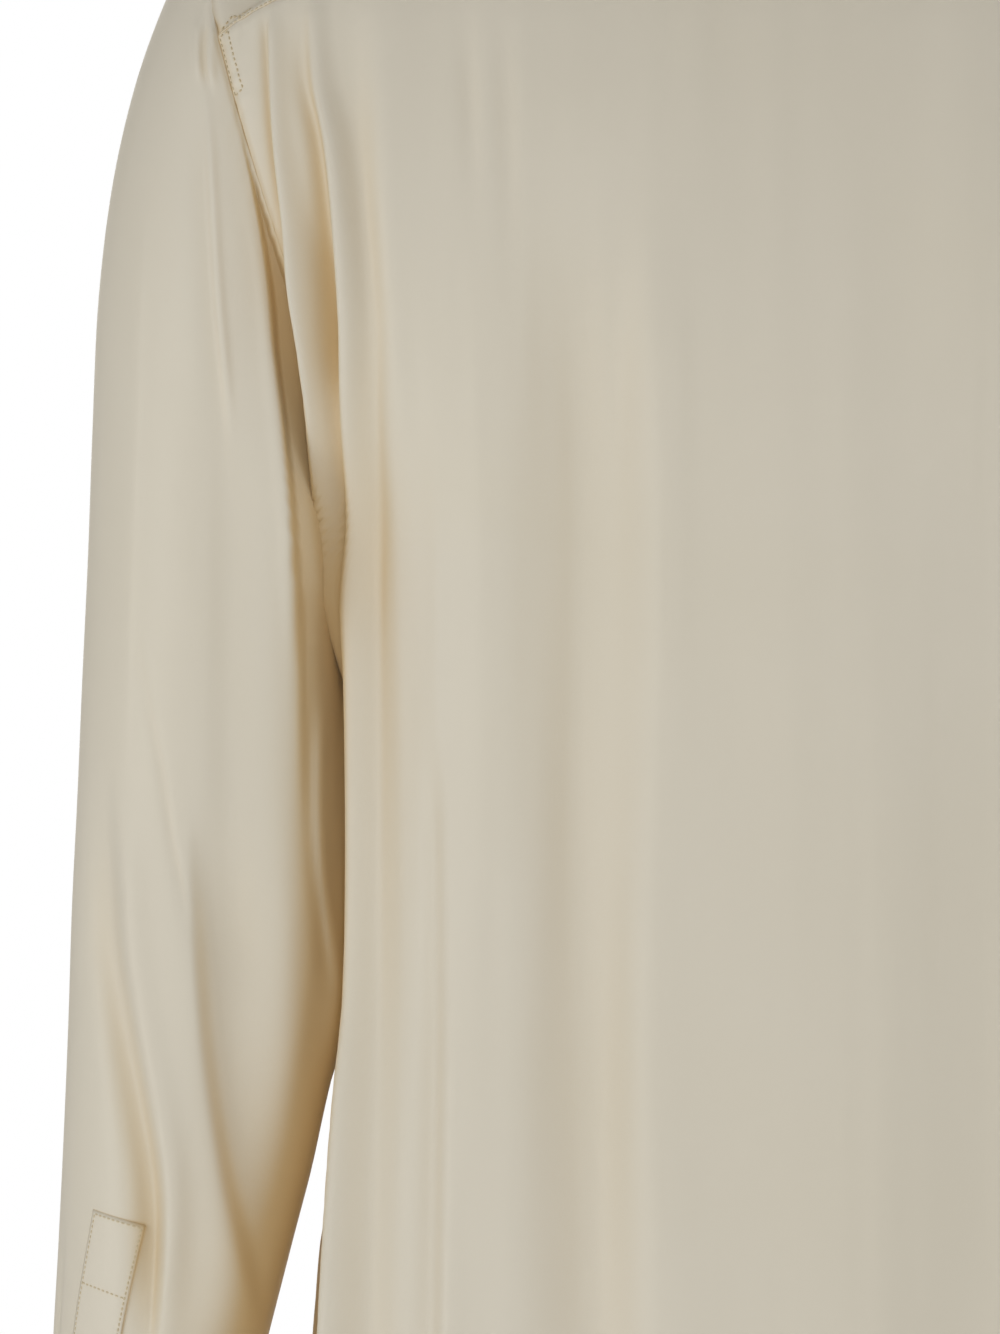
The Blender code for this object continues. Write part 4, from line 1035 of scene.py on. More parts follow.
# Each has an outer and an inner flank of its own width, how far it stands out, and its line as (z, x).
BehindFold = namedtuple("BehindFold", "name outer_width inner_width stands_out line")
BEHIND_FOLDS = [
    BehindFold("first pucker", 0.0012, 0.0022, 0.0015,
               ((-0.084, 0.2060), (-0.095, 0.2077), (-0.103, 0.2077), (-0.112, 0.2068))),
    BehindFold("first pucker's hollow", 0.0018, 0.0012, -0.0008,
               ((-0.084, 0.2078), (-0.096, 0.2094), (-0.104, 0.2092), (-0.114, 0.2082))),
    BehindFold("second pucker", 0.0014, 0.0022, 0.0013,
               ((-0.083, 0.2112), (-0.092, 0.2126), (-0.102, 0.2124), (-0.110, 0.2118))),
    BehindFold("shoulder drag ridge", 0.0013, 0.0020, 0.0011,
               ((-0.104, 0.2090), (-0.150, 0.2066), (-0.189, 0.2042), (-0.240, 0.1990))),
    BehindFold("hollow beside it", 0.0050, 0.0020, -0.0009,
               ((-0.100, 0.2120), (-0.150, 0.2094), (-0.189, 0.2070), (-0.260, 0.2010))),
    BehindFold("second drag ridge", 0.0050, 0.0024, 0.0009,
               ((-0.120, 0.2290), (-0.200, 0.2330), (-0.290, 0.2360), (-0.370, 0.2380))),
    BehindFold("thin crease", 0.0022, 0.0012, -0.0008,
               ((-0.290, 0.2350), (-0.307, 0.2330), (-0.3515, 0.2242), (-0.3764, 0.2207), (-0.420, 0.2120))),
    BehindFold("long crease", 0.0084, 0.0022, -0.0070,
               ((-0.345, 0.2456), (-0.396, 0.2425), (-0.4157, 0.2411), (-0.4456, 0.2362), (-0.4726, 0.2313),
                (-0.4950, 0.2278), (-0.5147, 0.2271), (-0.545, 0.2290), (-0.580, 0.2320))),
    BehindFold("long crease's ridge", 0.0020, 0.0070, 0.0038,
               ((-0.345, 0.2408), (-0.396, 0.2377), (-0.4157, 0.2363), (-0.4456, 0.2314), (-0.4726, 0.2265),
                (-0.4950, 0.2230), (-0.5147, 0.2223), (-0.545, 0.2240), (-0.580, 0.2270))),
    BehindFold("lapping edge", 0.0200, 0.0036, 0.0042,
               ((-0.350, 0.2176), (-0.3764, 0.2165), (-0.4059, 0.2151), (-0.4505, 0.2116), (-0.4926, 0.2053),
                (-0.5196, 0.1993), (-0.5491, 0.1920), (-0.640, 0.1660))),
    BehindFold("shade under the lapping edge", 0.0070, 0.0240, -0.0030,
               ((-0.360, 0.2076), (-0.4059, 0.2056), (-0.4505, 0.2026), (-0.4926, 0.1971),
                (-0.5196, 0.1916), (-0.5491, 0.1841), (-0.575, 0.1766))),
    BehindFold("fullness of the inner side", 0.0095, 0.0200, 0.0200,
               ((-0.262, 0.1540), (-0.330, 0.1520), (-0.400, 0.1520), (-0.490, 0.1560))),
    BehindFold("slack beside the fullness", 0.0085, 0.0085, -0.0052,
               ((-0.262, 0.1700), (-0.330, 0.1672), (-0.400, 0.1668), (-0.490, 0.1700))),
    BehindFold("underarm leaf", 0.0024, 0.0024, 0.0012,
               ((-0.315, 0.1680), (-0.375, 0.1690), (-0.440, 0.1600))),
    BehindFold("leaf's hollow", 0.0024, 0.0024, -0.0012,
               ((-0.320, 0.1722), (-0.375, 0.1722), (-0.440, 0.1650))),
]
print(len(BEHIND_FOLDS), "folds behind each sleeve")

# %% [markdown]
# ## The sleeve's surface
# One function gives the sleeve's points for any angle and any place along it, so the placket tower can later
# ask for the same surface. It starts from a ring, draws the first rings onto the armhole seam, and adds both
# kinds of fold. Boolean cuts or sculpting would give a surface that nothing else could follow.

# %% The sleeve's surface
SLEEVE_CORNER = 2.4  # how square the quarter behind and inside is
CORNER_GROWN, CORNER_FADES, CORNER_FADE = 0.25, 0.58, 0.36  # shares of the sleeve's length
SEAM_HOLDS, FOLDS_GROWN = 0.30, 0.10  # and how far down the seam holds the rings and the folds
LEANING_HALF = 0.020  # half the width of the side that leans on the body
BEHIND_FADE = 0.28  # share of a fold's length over which each end rises from the cloth
REAR_EASE = 0.025  # metres behind the sleeve's middle where the folds behind are whole
POCKET_EDGE, POCKET_SEAM = 0.0017, 0.003  # the pocket sinks in over these, from its edge and its seam
POCKET_LIP = 0.08  # the pocket's edge stands up by this share of its depth
LIP_OFF, LIP_HALF = 0.002, 0.0025  # how far outside the edge this lip lies, and half its width


def behind_folds(side, grid, seam):
    """Folds on the rear half of a sleeve, pushed straight back or in."""
    x, y, z = grid[..., 0] * side, grid[..., 1], grid[..., 2]
    behind = smooth(y / REAR_EASE)
    inside_of = read_table(POCKET, "z", "edge_x", z) - x
    from_seam = np.linalg.norm(grid - seam, axis=-1)
    depth = read_table(POCKET, "z", "depth", z)
    push = -depth * smooth(inside_of / POCKET_EDGE) * smooth(from_seam / POCKET_SEAM)
    push += POCKET_LIP * depth * np.exp(-(((inside_of + LIP_OFF) / LIP_HALF) ** 2))
    for fold in BEHIND_FOLDS:
        heights, places = zip(*fold.line)
        away = x - read_column(heights, places, z)
        run = np.clip((heights[0] - z) / (heights[0] - heights[-1]), 0, 1)
        ends = smooth(run / BEHIND_FADE) * smooth((1 - run) / BEHIND_FADE)
        width = np.where(away > 0, fold.outer_width, fold.inner_width)
        push += fold.stands_out * ends * np.exp(-((away / width) ** 2))
    return grid + (push * behind)[..., None] * [0.0, 1.0, 0.0]


def sleeve_points(side, turn, along, lifted=0.0):
    """Points of a sleeve with all its folds, moved out by lifted."""
    turn, along = np.broadcast_arrays(np.asarray(turn, float), np.asarray(along, float))
    corner = SLEEVE_CORNER * smooth(along / CORNER_GROWN) * (1 - smooth((along - CORNER_FADES) / CORNER_FADE))
    grid = ring_points(SLEEVE_RINGS, side, turn, along, corner=corner)
    signed = (turn + math.pi) % (2 * math.pi) - math.pi
    seam = armhole_points(side, signed)
    near = np.clip(1 - along / SEAM_HOLDS, 0, 1)[..., None] ** 2
    grid = grid + (seam - ring_points(SLEEVE_RINGS, side, turn, 0.0)) * near
    outer, inner = (ring_points(SLEEVE_RINGS, side, angle, along) for angle in (0.0, math.pi))
    outward = grid - (outer + inner) / 2
    outward /= np.linalg.norm(outward, axis=-1, keepdims=True)
    height = sleeve_fold_height(side, turn, along) * smooth(along / FOLDS_GROWN) + lifted
    inside = np.exp(-(((turn % (2 * math.pi) - math.pi) * SLEEVE_RADIUS / LEANING_HALF) ** 2))
    height = height + inside * read_table(LEANING_SIDE, "z", "stands_out", grid[..., 2])
    grid = grid + outward * height[..., None]
    return behind_folds(side, grid, seam)


print("elbow", sleeve_points(LEFT, np.array(0.0), np.array(0.6)).round(3))

# %% [markdown]
# ## The two sleeves
# The surface is sampled on a grid that closes to a tube. Its seam allowance turns into the armhole and its
# last rows are tucked into the cuff, as a sewn sleeve's are, so no gap opens at either end. Simply making the
# tube longer would push it through the body and the cuff.

# %% The two sleeves
SLEEVE_ROWS, SLEEVE_COLUMNS = 230, 160
SLEEVE_CROWD = 0.45  # columns stand closer together behind, where the folds are finest
SLEEVE_SEAM_CROWD, SLEEVE_STARTS = 0.55, 0.0015  # of the rows, and the share of the sleeve they start at
SLEEVE_MIDDLE_X = 0.21
ALLOWANCE_SHARES = (0.060, 0.020)  # of the way from the seam to a spot well inside the body
ALLOWANCE_AIM = 0.05  # metres from the armhole's middle to that spot
TUCKED_DOWN = (0.0012, 0.0040)  # metres that the last rows reach into the cuff

for side, word in SIDES:
    turns = np.linspace(0, 2 * math.pi, SLEEVE_COLUMNS, endpoint=False)[::side]
    turns = turns + SLEEVE_CROWD * np.cos(turns)
    alongs = mix(SLEEVE_STARTS, 1, crowded(SLEEVE_ROWS, SLEEVE_SEAM_CROWD))[:, None]
    grid = sleeve_points(side, turns, alongs)
    axis = (side * SLEEVE_MIDDLE_X, 0.0)
    grid = np.concatenate([grid[:, -2:], grid, grid[:, :2]], axis=1)  # wrapped round, so the ends match
    grid = roll_edges(pucker_edges(grid, ("first_row",), axis), ("first_row", "last_row"), axis)[:, 2:-2]
    first, last = grid[:1], grid[-1:]
    heart = first.mean(axis=(0, 1)) - [side * ALLOWANCE_AIM, 0, 0]
    allowance = [mix(first, heart, share) for share in ALLOWANCE_SHARES]
    tucked = [last + [0, 0, -down] for down in TUCKED_DOWN]
    sleeve = silk_sheet(f"sleeve_{word}_tube", np.concatenate([*allowance, grid, *tucked]), closed=True)
    finish_sheet(sleeve, f"sleeve_{word}")

# %% [markdown]
# ## Cuffs
# A cuff is a straight double band with an interlining, so it is stiffer and thicker than the sleeve and takes
# no folds. Its ends meet at the placket, where one laps over the other and holds the button. A closed tube
# would be quicker, but a real cuff has an end to lift, so the band is an open strip that goes once round the
# wrist and past its own start.

# %% The two cuffs
CUFF_THICK = 0.0011
CUFF_OPENING, CUFF_LAP = math.radians(52), math.radians(16)  # where it opens, and how far each end passes
LAP_LIFT = 0.0016  # the upper end of a lap stands this far off the lower one
LAP_STARTS, LAP_GROWS = 0.86, 0.06  # where the band starts to rise over itself, and over what share
CUFF_ROWS, CUFF_COLUMNS = 26, 170
# An upright line inside each cuff, so that the way out from it is known.
cuff_middles = {side: (side * 0.236, -0.03) for side, _ in SIDES}
cuff_grids = {}


def plump(grid, width=0.003, height=0.0003, middle=(0.0, 0.0)):
    """A stiffened band is a little thinner at its stitched edges than in its middle."""
    nearest = np.min(np.stack(list(edge_distances(grid).values())), axis=0)
    return grid + outward_normals(grid, middle) * (height * (smooth(nearest / width) - 1))[..., None]


for side, word in SIDES:
    share = np.linspace(0, 1, CUFF_COLUMNS)
    turn = CUFF_OPENING - CUFF_LAP + share * (2 * math.pi + 2 * CUFF_LAP)
    lapped = smooth((share - LAP_STARTS) / LAP_GROWS) * LAP_LIFT
    grid = ring_points(CUFF_RINGS, side, turn, np.linspace(0, 1, CUFF_ROWS)[:, None], lapped)
    cuff_grids[side] = plump(grid, width=0.004, middle=cuff_middles[side])
    cuff = silk_sheet(f"cuff_{word}_band", cuff_grids[side], thick=CUFF_THICK)
    finish_sheet(cuff, f"cuff_{word}")

# %% [markdown]
# ## Sleeve placket towers
# The slit above a cuff is bound with a folded strip that ends in a flat-topped tower. It lies on the sleeve
# and follows all its folds. Shrinkwrap could lay a flat strip on the sleeve, but its edges would drift, so
# its points are the sleeve's own points, moved out by its thickness.

# %% The two towers
TOWER_TOP_Z = -0.507
TowerEdge = namedtuple("TowerEdge", "z turn_outer turn_inner")
TOWER_EDGES = [
    TowerEdge(TOWER_TOP_Z, 44.5, 75),
    TowerEdge(-0.550, 36.5, 69),
    TowerEdge(-0.585, 33, 69),
    TowerEdge(-0.612, 30, 74),
]
TOWER_THICK, TOWER_LIFT = 0.0005, 0.00035
TOWER_INNER_LIFT = 0.00045  # its edge towards the body stands off this much more
TOWER_TILT = 0.0056  # its top slopes down to the inner edge by this much
TOWER_ROWS, TOWER_COLUMNS = 60, 26
HALVINGS = 24  # enough to find a height to well under a thousandth of a millimetre
# An upright line inside each sleeve at its tower, for the same use.
tower_middles = {side: (side * 0.232, -0.02) for side, _ in SIDES}
tower_grids = {}


def along_at_height(side, turn, z):
    """How far along the sleeve's lower half its surface has reached a given height, found by halving."""
    low, high = np.full_like(z, 0.5), np.full_like(z, 1.0)
    for _ in range(HALVINGS):
        middle = (low + high) / 2
        above = sleeve_points(side, turn, middle)[..., 2] > z
        low, high = np.where(above, middle, low), np.where(above, high, middle)
    return (low + high) / 2


for side, word in SIDES:
    across = np.linspace(0, 1, TOWER_COLUMNS)
    z = np.linspace(TOWER_TOP_Z, TOWER_EDGES[-1].z, TOWER_ROWS)[:, None]
    outer, inner = (read_table(TOWER_EDGES, "z", name, z) for name in ("turn_outer", "turn_inner"))
    turn = np.radians(mix(outer, inner, across))
    z = z - TOWER_TILT * across * np.linspace(1, 0, TOWER_ROWS)[:, None]
    lift = TOWER_LIFT + TOWER_INNER_LIFT * smooth(np.linspace(-1, 1, TOWER_COLUMNS))
    grid = sleeve_points(side, turn, along_at_height(side, turn, z), lift)
    tower_grids[side] = plump(grid, width=0.002, height=0.0002, middle=tower_middles[side])
    tower = silk_sheet(f"tower_{word}_strip", tower_grids[side], thick=TOWER_THICK)
    finish_sheet(tower, f"tower_{word}")

# %% [markdown]
# ## The button placket
# The right front's edge is folded into a band three centimetres wide that runs down the centre. It could be
# part of the front's own sheet, but a band of its own can be thicker and keep its straight edges. It rests on
# both fronts, a little in front of the body's form.

# %% The placket
PLACKET_HALF, PLACKET_ROWS, PLACKET_COLUMNS = 0.015, 190, 22
PLACKET_TOP_Z = -NECK_DROP_FRONT - 0.003  # just under the stand
PLACKET_THICK, PLACKET_LIFT = 0.0009, 0.0014
down = np.linspace(PLACKET_TOP_Z, HEM_Z, PLACKET_ROWS)[:, None]
x = np.linspace(-PLACKET_HALF, PLACKET_HALF, PLACKET_COLUMNS)
placket_points = plump(front_surface(x, down + 0 * x) - [0.0, PLACKET_LIFT, 0.0])
placket = silk_sheet("front_placket_band", placket_points, thick=PLACKET_THICK)
finish_sheet(placket, "front_placket")

# %% [markdown]
# ## The collar stand
# The stand is a stiffened band that stands on the neck seam and laps over itself at the front, where its
# button sits. A straight band round a neck would gape, so each of its points starts from the neck seam and
# leans inwards on its way up.

# %% The collar stand
STAND_HEIGHT, STAND_THICK = 0.030, 0.0011
STAND_FRONT_SHARE = 0.80  # it is this much lower at the centre front
STAND_GAP = 0.0009  # its lower edge stands this far above the seam
STAND_TILT = 0.002  # its upper edge leans in by this much
STAND_LAP, STAND_LAP_LIFT = math.radians(9), 0.0015  # how far each end passes the centre, and one lifts
STAND_LAP_STARTS, STAND_LAP_GROWS = 0.88, 0.05  # shares of its length, as on the cuffs
STAND_ROWS, STAND_COLUMNS = 18, 200


def neck_line(turn):
    """Points of the neck seam and the way out from it, for angles of any size."""
    wrapped = (turn + math.pi) % (2 * math.pi) - math.pi
    base = neck_points(wrapped)
    away = base * [1.0, 1.0, 0.0]
    return wrapped, base, away / np.linalg.norm(away, axis=-1, keepdims=True)


def stand_top(wrapped):
    """How high the stand is at each place round the neck."""
    return STAND_HEIGHT * mix(1.0, STAND_FRONT_SHARE, smooth(np.abs(wrapped) / math.pi))


share = np.linspace(0, 1, STAND_COLUMNS)
wrapped, base, away = neck_line(mix(math.pi + STAND_LAP, -math.pi - STAND_LAP, share))
up = np.linspace(0, 1, STAND_ROWS)[::-1, None]
off = smooth((share - STAND_LAP_STARTS) / STAND_LAP_GROWS) * STAND_LAP_LIFT - STAND_TILT * up
stand_points = base + away * off[..., None]
stand_points[..., 2] += STAND_GAP + stand_top(wrapped) * up
stand_points = plump(stand_points)
stand = silk_sheet("collar_stand_band", stand_points, thick=STAND_THICK)
finish_sheet(stand, "collar_stand")

# %% [markdown]
# ## The collar
# The collar hangs from the stand's top edge: it rises a little, rolls over and falls outside the stand, and
# its ends run out into two plain points. It could be folded by a cloth simulation, but its points would come
# out uneven, so a table says how far its outer edge stands off and how high it lies round the neck.

# %% The collar
# The turn is in degrees from the centre back, and the rest in metres from the neck seam.
CollarEdge = namedtuple("CollarEdge", "turn stands_off above")
COLLAR_EDGES = [
    CollarEdge(0, 0.0205, -0.0100),
    CollarEdge(45, 0.0210, -0.0060),
    CollarEdge(90, 0.0225, -0.0010),
    CollarEdge(115, 0.0240, -0.0060),
    CollarEdge(135, 0.0290, -0.0250),
    CollarEdge(151, 0.0375, -0.0540),
]
COLLAR_ROWS, COLLAR_COLUMNS, COLLAR_THICK = 46, 200, 0.0011
COLLAR_END = 173  # degrees from the centre back to its ends, on the stand
COLLAR_ROLL = 0.15  # the first share of the fall is the roll
ROLL_OUT, ROLL_UP, ROLL_GAP = 0.0044, 0.0016, 0.0025  # size of the roll, and its height over the stand
COLLAR_CROWD = 1.2  # rows stand closer together in the roll
FALL_OUT, FALL_DOWN = 0.9, 1.05  # how evenly the fall moves out and down


def collar_grid():
    """Rows from the stand's top over the roll and down the fall, columns from end to end."""
    fall = (np.linspace(0, 1, COLLAR_ROWS)[:, None]) ** COLLAR_CROWD
    end = np.radians(mix(COLLAR_END, COLLAR_EDGES[-1].turn, fall))
    wrapped, base, away = neck_line(mix(end, -end, np.linspace(0, 1, COLLAR_COLUMNS)))
    degrees = np.degrees(np.abs(wrapped))
    top = stand_top(wrapped)
    edge_off = read_table(COLLAR_EDGES, "turn", "stands_off", degrees)
    edge_up = read_table(COLLAR_EDGES, "turn", "above", degrees)
    rolled = np.clip(fall / COLLAR_ROLL, 0, 1) * math.pi / 2
    down = np.clip((fall - COLLAR_ROLL) / (1 - COLLAR_ROLL), 0, 1)
    off = np.where(fall < COLLAR_ROLL, ROLL_OUT * (1 - np.cos(rolled)),
                   mix(ROLL_OUT, edge_off, down**FALL_OUT))
    up = np.where(fall < COLLAR_ROLL, top + ROLL_GAP + ROLL_UP * np.sin(rolled),
                  mix(top + ROLL_GAP + ROLL_UP, edge_up, down**FALL_DOWN))
    grid = base + away * off[..., None]
    grid[..., 2] += up
    return grid


collar_points = plump(collar_grid())
collar = silk_sheet("collar_leaf", collar_points, thick=COLLAR_THICK)
finish_sheet(collar, "collar")

# %% [markdown]
# ## Shirt buttons
# A shirt button is turned on a lathe: a rim, a shallow dish and four holes. A squashed cylinder would show
# neither rim nor dish. One button is made as the lathe does it, by spinning a profile, and its holes are cut
# by a boolean, as a drill would. Then every button shares its mesh.

# %% One button
BUTTON_ACROSS, BUTTON_THICK = 0.0105, 0.0022
BUTTON_SIDES, DRILL_SIDES = 40, 16
BUTTON_SHARP = math.radians(40)  # edges sharper than this stay crisp
HOLE_ACROSS, HOLE_OFF = 0.0014, 0.0012
BUTTON_PROFILE = [  # share of the radius, share of the thickness above the middle
    (0.00, -0.50), (0.80, -0.50), (0.95, -0.34), (1.00, 0.00), (0.97, 0.30), (0.88, 0.46), (0.76, 0.50),
    (0.66, 0.44), (0.58, 0.24), (0.50, 0.12), (0.30, 0.08), (0.00, 0.08),
]


def ring_faces(rings, sides):
    """Faces between neighbouring rings of points, each ring with this many sides."""
    faces = []
    for low in range(0, (rings - 1) * sides, sides):
        for i in range(sides):
            j = (i + 1) % sides
            faces.append([low + i, low + j, low + sides + j, low + sides + i])
    return faces


def turned_blank():
    """The profile spun round once, closed with a fan of faces below and above."""
    bottom, *ring, top = BUTTON_PROFILE
    around, radius = BUTTON_SIDES, BUTTON_ACROSS / 2
    turn = np.linspace(0, 2 * math.pi, around, endpoint=False)
    spots = [points(r * radius * np.cos(turn), r * radius * np.sin(turn), h * BUTTON_THICK) for r, h in ring]
    spots = np.concatenate([*spots, [[0, 0, bottom[1] * BUTTON_THICK], [0, 0, top[1] * BUTTON_THICK]]])
    faces = ring_faces(len(ring), around)
    last = (len(ring) - 1) * around
    for i in range(around):
        j = (i + 1) % around
        faces.append([len(ring) * around, j, i])
        faces.append([len(ring) * around + 1, last + i, last + j])
    return mesh_piece("button_blank", spots, faces, shell)


def drill_bits():
    """Four cylinders, one for each hole."""
    drill = bmesh.new()
    for x in (-HOLE_OFF, HOLE_OFF):
        for y in (-HOLE_OFF, HOLE_OFF):
            made = bmesh.ops.create_cone(drill, cap_ends=True, segments=DRILL_SIDES, radius1=HOLE_ACROSS / 2,
                                         radius2=HOLE_ACROSS / 2, depth=3 * BUTTON_THICK)
            bmesh.ops.translate(drill, verts=made["verts"], vec=(x, y, 0))
    bits = bpy.data.meshes.new("drill_bits")
    drill.to_mesh(bits)
    drill.free()
    cutter = bpy.data.objects.new("drill_bits", bits)
    bpy.context.scene.collection.objects.link(cutter)
    return cutter


def make_button_mesh():
    blank, cutter = turned_blank(), drill_bits()
    cut = blank.modifiers.new("Holes", "BOOLEAN")
    cut.object = cutter
    cut.operation = "DIFFERENCE"
    cut.solver = "EXACT"
    seen = blank.evaluated_get(bpy.context.evaluated_depsgraph_get())
    mesh = bpy.data.meshes.new_from_object(seen)
    mesh.name = "shirt_button"
    for rough in (blank, cutter):
        bpy.data.objects.remove(rough)
    mesh.materials.clear()
    mesh.materials.append(shell)
    mesh.shade_smooth()
    mesh.set_sharp_from_angle(angle=BUTTON_SHARP)
    return mesh


button_mesh = make_button_mesh()
print("button mesh", len(button_mesh.polygons), "faces")

# %% [markdown]
# ## The thread that holds a button
# Each button is held by two doubled bars of thread over its dish and by a shank of thread under it. A painted
# line would be flat from the side, so every bar is a small bent tube whose ends dip into the holes.

# %% Thread through one button
THREAD_ACROSS, BAR_SIDES, BAR_RINGS = 0.00034, 6, 7
BAR_DIP, BAR_RISE = 0.0003, 0.0007  # its ends lie this deep under the dish, and its middle rises this much
BAR_BESIDE = 0.4  # the two threads of a bar lie this share of their width off its middle
SHANK_SIDES, SHANK_RADII = 10, (0.0009, 0.0012)
SHANK_BELOW, SHANK_INSIDE = 0.0007, 0.0003  # how far it reaches under the button and into it


def thread_bar(start, end):
    """A short bar of thread that rises over the dish and dips at both ends."""
    share = np.linspace(0, 1, BAR_RINGS)[:, None]
    turn = np.linspace(0, 2 * math.pi, BAR_SIDES, endpoint=False)
    up = np.array([0, 0, 1.0])
    side_way = np.cross(np.asarray(end) - start, up)
    side_way /= np.linalg.norm(side_way)
    middle = mix(np.asarray(start), np.asarray(end), share) + up * (BAR_RISE * np.sin(math.pi * share))
    ring = np.cos(turn)[:, None] * side_way + np.sin(turn)[:, None] * up
    spots = middle[:, None] + ring[None] * THREAD_ACROSS / 2
    return spots.reshape(-1, 3), ring_faces(BAR_RINGS, BAR_SIDES)


def make_button_thread():
    dip = BUTTON_PROFILE[-1][1] * BUTTON_THICK - BAR_DIP
    tubes = []
    for x in (-HOLE_OFF, HOLE_OFF):
        for beside in (-BAR_BESIDE, BAR_BESIDE):
            shift = x + beside * THREAD_ACROSS
            tubes.append(thread_bar((shift, -HOLE_OFF, dip), (shift, HOLE_OFF, dip)))
    turn = np.linspace(0, 2 * math.pi, SHANK_SIDES, endpoint=False)
    shank = [points(SHANK_RADII[0] * np.cos(turn), SHANK_RADII[1] * np.sin(turn), depth)
             for depth in (-0.5 * BUTTON_THICK - SHANK_BELOW, -0.5 * BUTTON_THICK + SHANK_INSIDE)]
    tubes.append((np.concatenate(shank), ring_faces(2, SHANK_SIDES)))
    starts = np.cumsum([0] + [len(spots) for spots, _ in tubes])
    faces = [[int(start) + i for i in face] for start, (_, bar) in zip(starts, tubes) for face in bar]
    made = mesh_piece("button_thread_blank", np.concatenate([spots for spots, _ in tubes]), faces, thread)
    mesh = made.data
    bpy.data.objects.remove(made)
    return mesh


button_thread_mesh = make_button_thread()
print("thread in a button", len(button_thread_mesh.polygons), "faces")

# %% [markdown]
# ## All ten buttons
# Seven buttons close the front, one the stand and one each cuff. Placing them by eye would leave some sunk in
# the cloth, so each spot and the way it faces come from the same functions that made the cloth.

# %% Every button in its place
BUTTON_LIFT = 0.0010 + BUTTON_THICK / 2  # from the cloth's middle to the button's
FRONT_BUTTON_Z = np.linspace(-0.130, -0.640, 7)
LOOK_UP = 0.005  # a step up the front that shows its slope
LOOK_OUT = 0.010  # a step out of a cuff that shows which way it faces
STAND_SPOT = np.array([0.0, -0.0007, 0.0011 + 0.4 * STAND_HEIGHT])  # on the stand, from the neck seam


def place_button(node, place, facing):
    """Puts the button on its spot, facing out; the thread rides with it."""
    turn = Vector(facing).to_track_quat("Z", "Y")
    for name, mesh, slot_name in ((f"{node}_turned", button_mesh, "shell"),
                                  (f"{node}_thread", button_thread_mesh, "silk")):
        piece = bpy.data.objects.new(name, mesh)
        piece.location = Vector(place)
        piece.rotation_mode = "QUATERNION"
        piece.rotation_quaternion = turn
        bpy.context.scene.collection.objects.link(piece)
        if slot_name == "shell":
            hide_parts(node)
        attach(piece, "root")


for i, z in enumerate(FRONT_BUTTON_Z):
    here, above = (front_surface(np.array(0.0), np.array(at)) for at in (z, z + LOOK_UP))
    slope = above - here
    facing = np.array([0.0, -slope[2], slope[1]])
    facing /= np.linalg.norm(facing)
    place_button(f"button_front_{i + 1}", here - [0, PLACKET_LIFT, 0] + facing * BUTTON_LIFT, facing)
stand_spot = neck_points(np.array(math.pi)) + STAND_SPOT
place_button("button_stand", stand_spot - [0, BUTTON_LIFT, 0], (0, -1, 0))
for side, word in SIDES:
    here, beyond = (ring_points(CUFF_RINGS, side, CUFF_OPENING, 0.5, out) for out in (LAP_LIFT, LOOK_OUT))
    facing = (beyond - here) * [1, 1, 0]
    facing /= np.linalg.norm(facing)
    place_button(f"button_cuff_{word}", here + facing * BUTTON_LIFT, facing)
print("ten buttons placed")

# %% [markdown]
# ## Stitches
# A lockstitch shows as a row of short bars, each dipping into the cloth at both ends. A shirt has about five
# of them to a centimetre. A texture could fake them, but real bars catch light and leave a shadow. A row
# starts as a line at one distance from a border, with the cloth's way out at each of its points.

# %% Lines for the stitches
LINE_STEP = 0.0008  # metres from point to point of a line
TINY = 1e-9  # keeps a length of nothing from being divided by


def running_length(line):
    """How far each point lies from the line's start."""
    return np.concatenate([[0], np.cumsum(np.linalg.norm(np.diff(line, axis=0), axis=-1))])


def at_lengths(at, length, values):
    """The line's values, x, y and z, at these lengths."""
    return np.stack([np.interp(at, length, values[:, i]) for i in range(3)], axis=-1)


def grid_line(grid, edge, inset, middle=(0.0, 0.0), starts=0.0, stops=None):
    """Points at one distance from a border, from starts to stops along it, and the way out at each."""
    far = edge_distances(grid)[edge]
    normals = outward_normals(grid, middle)
    if edge.endswith("column"):
        far, grid, normals = far.T, grid.transpose(1, 0, 2), normals.transpose(1, 0, 2)
    if edge.startswith("last"):
        far, grid, normals = far[::-1], grid[::-1], normals[::-1]
    low = np.clip((far < inset).sum(axis=0) - 1, 0, len(far) - 2)
    column = np.arange(far.shape[1])
    span = np.maximum(far[low + 1, column] - far[low, column], TINY)
    share = np.clip((inset - far[low, column]) / span, 0, 1)[:, None]
    line = mix(grid[low, column], grid[low + 1, column], share)
    out = mix(normals[low, column], normals[low + 1, column], share)
    length = running_length(line)
    ends = [length[-1] if at is None else at + (length[-1] if at < 0 else 0) for at in (starts, stops)]
    at = np.linspace(*ends, max(int(abs(ends[1] - ends[0]) / LINE_STEP), 2))
    return at_lengths(at, length, line), at_lengths(at, length, out)


print("lines have a point every", LINE_STEP * 1000, "mm")

# %% [markdown]
# ## Bars along a line
# Each stitch is a small bar with five sides that swells from its ends and lies on the cloth. A separate
# object for each would make thousands of them, so all the bars of a seam are joined into one mesh.

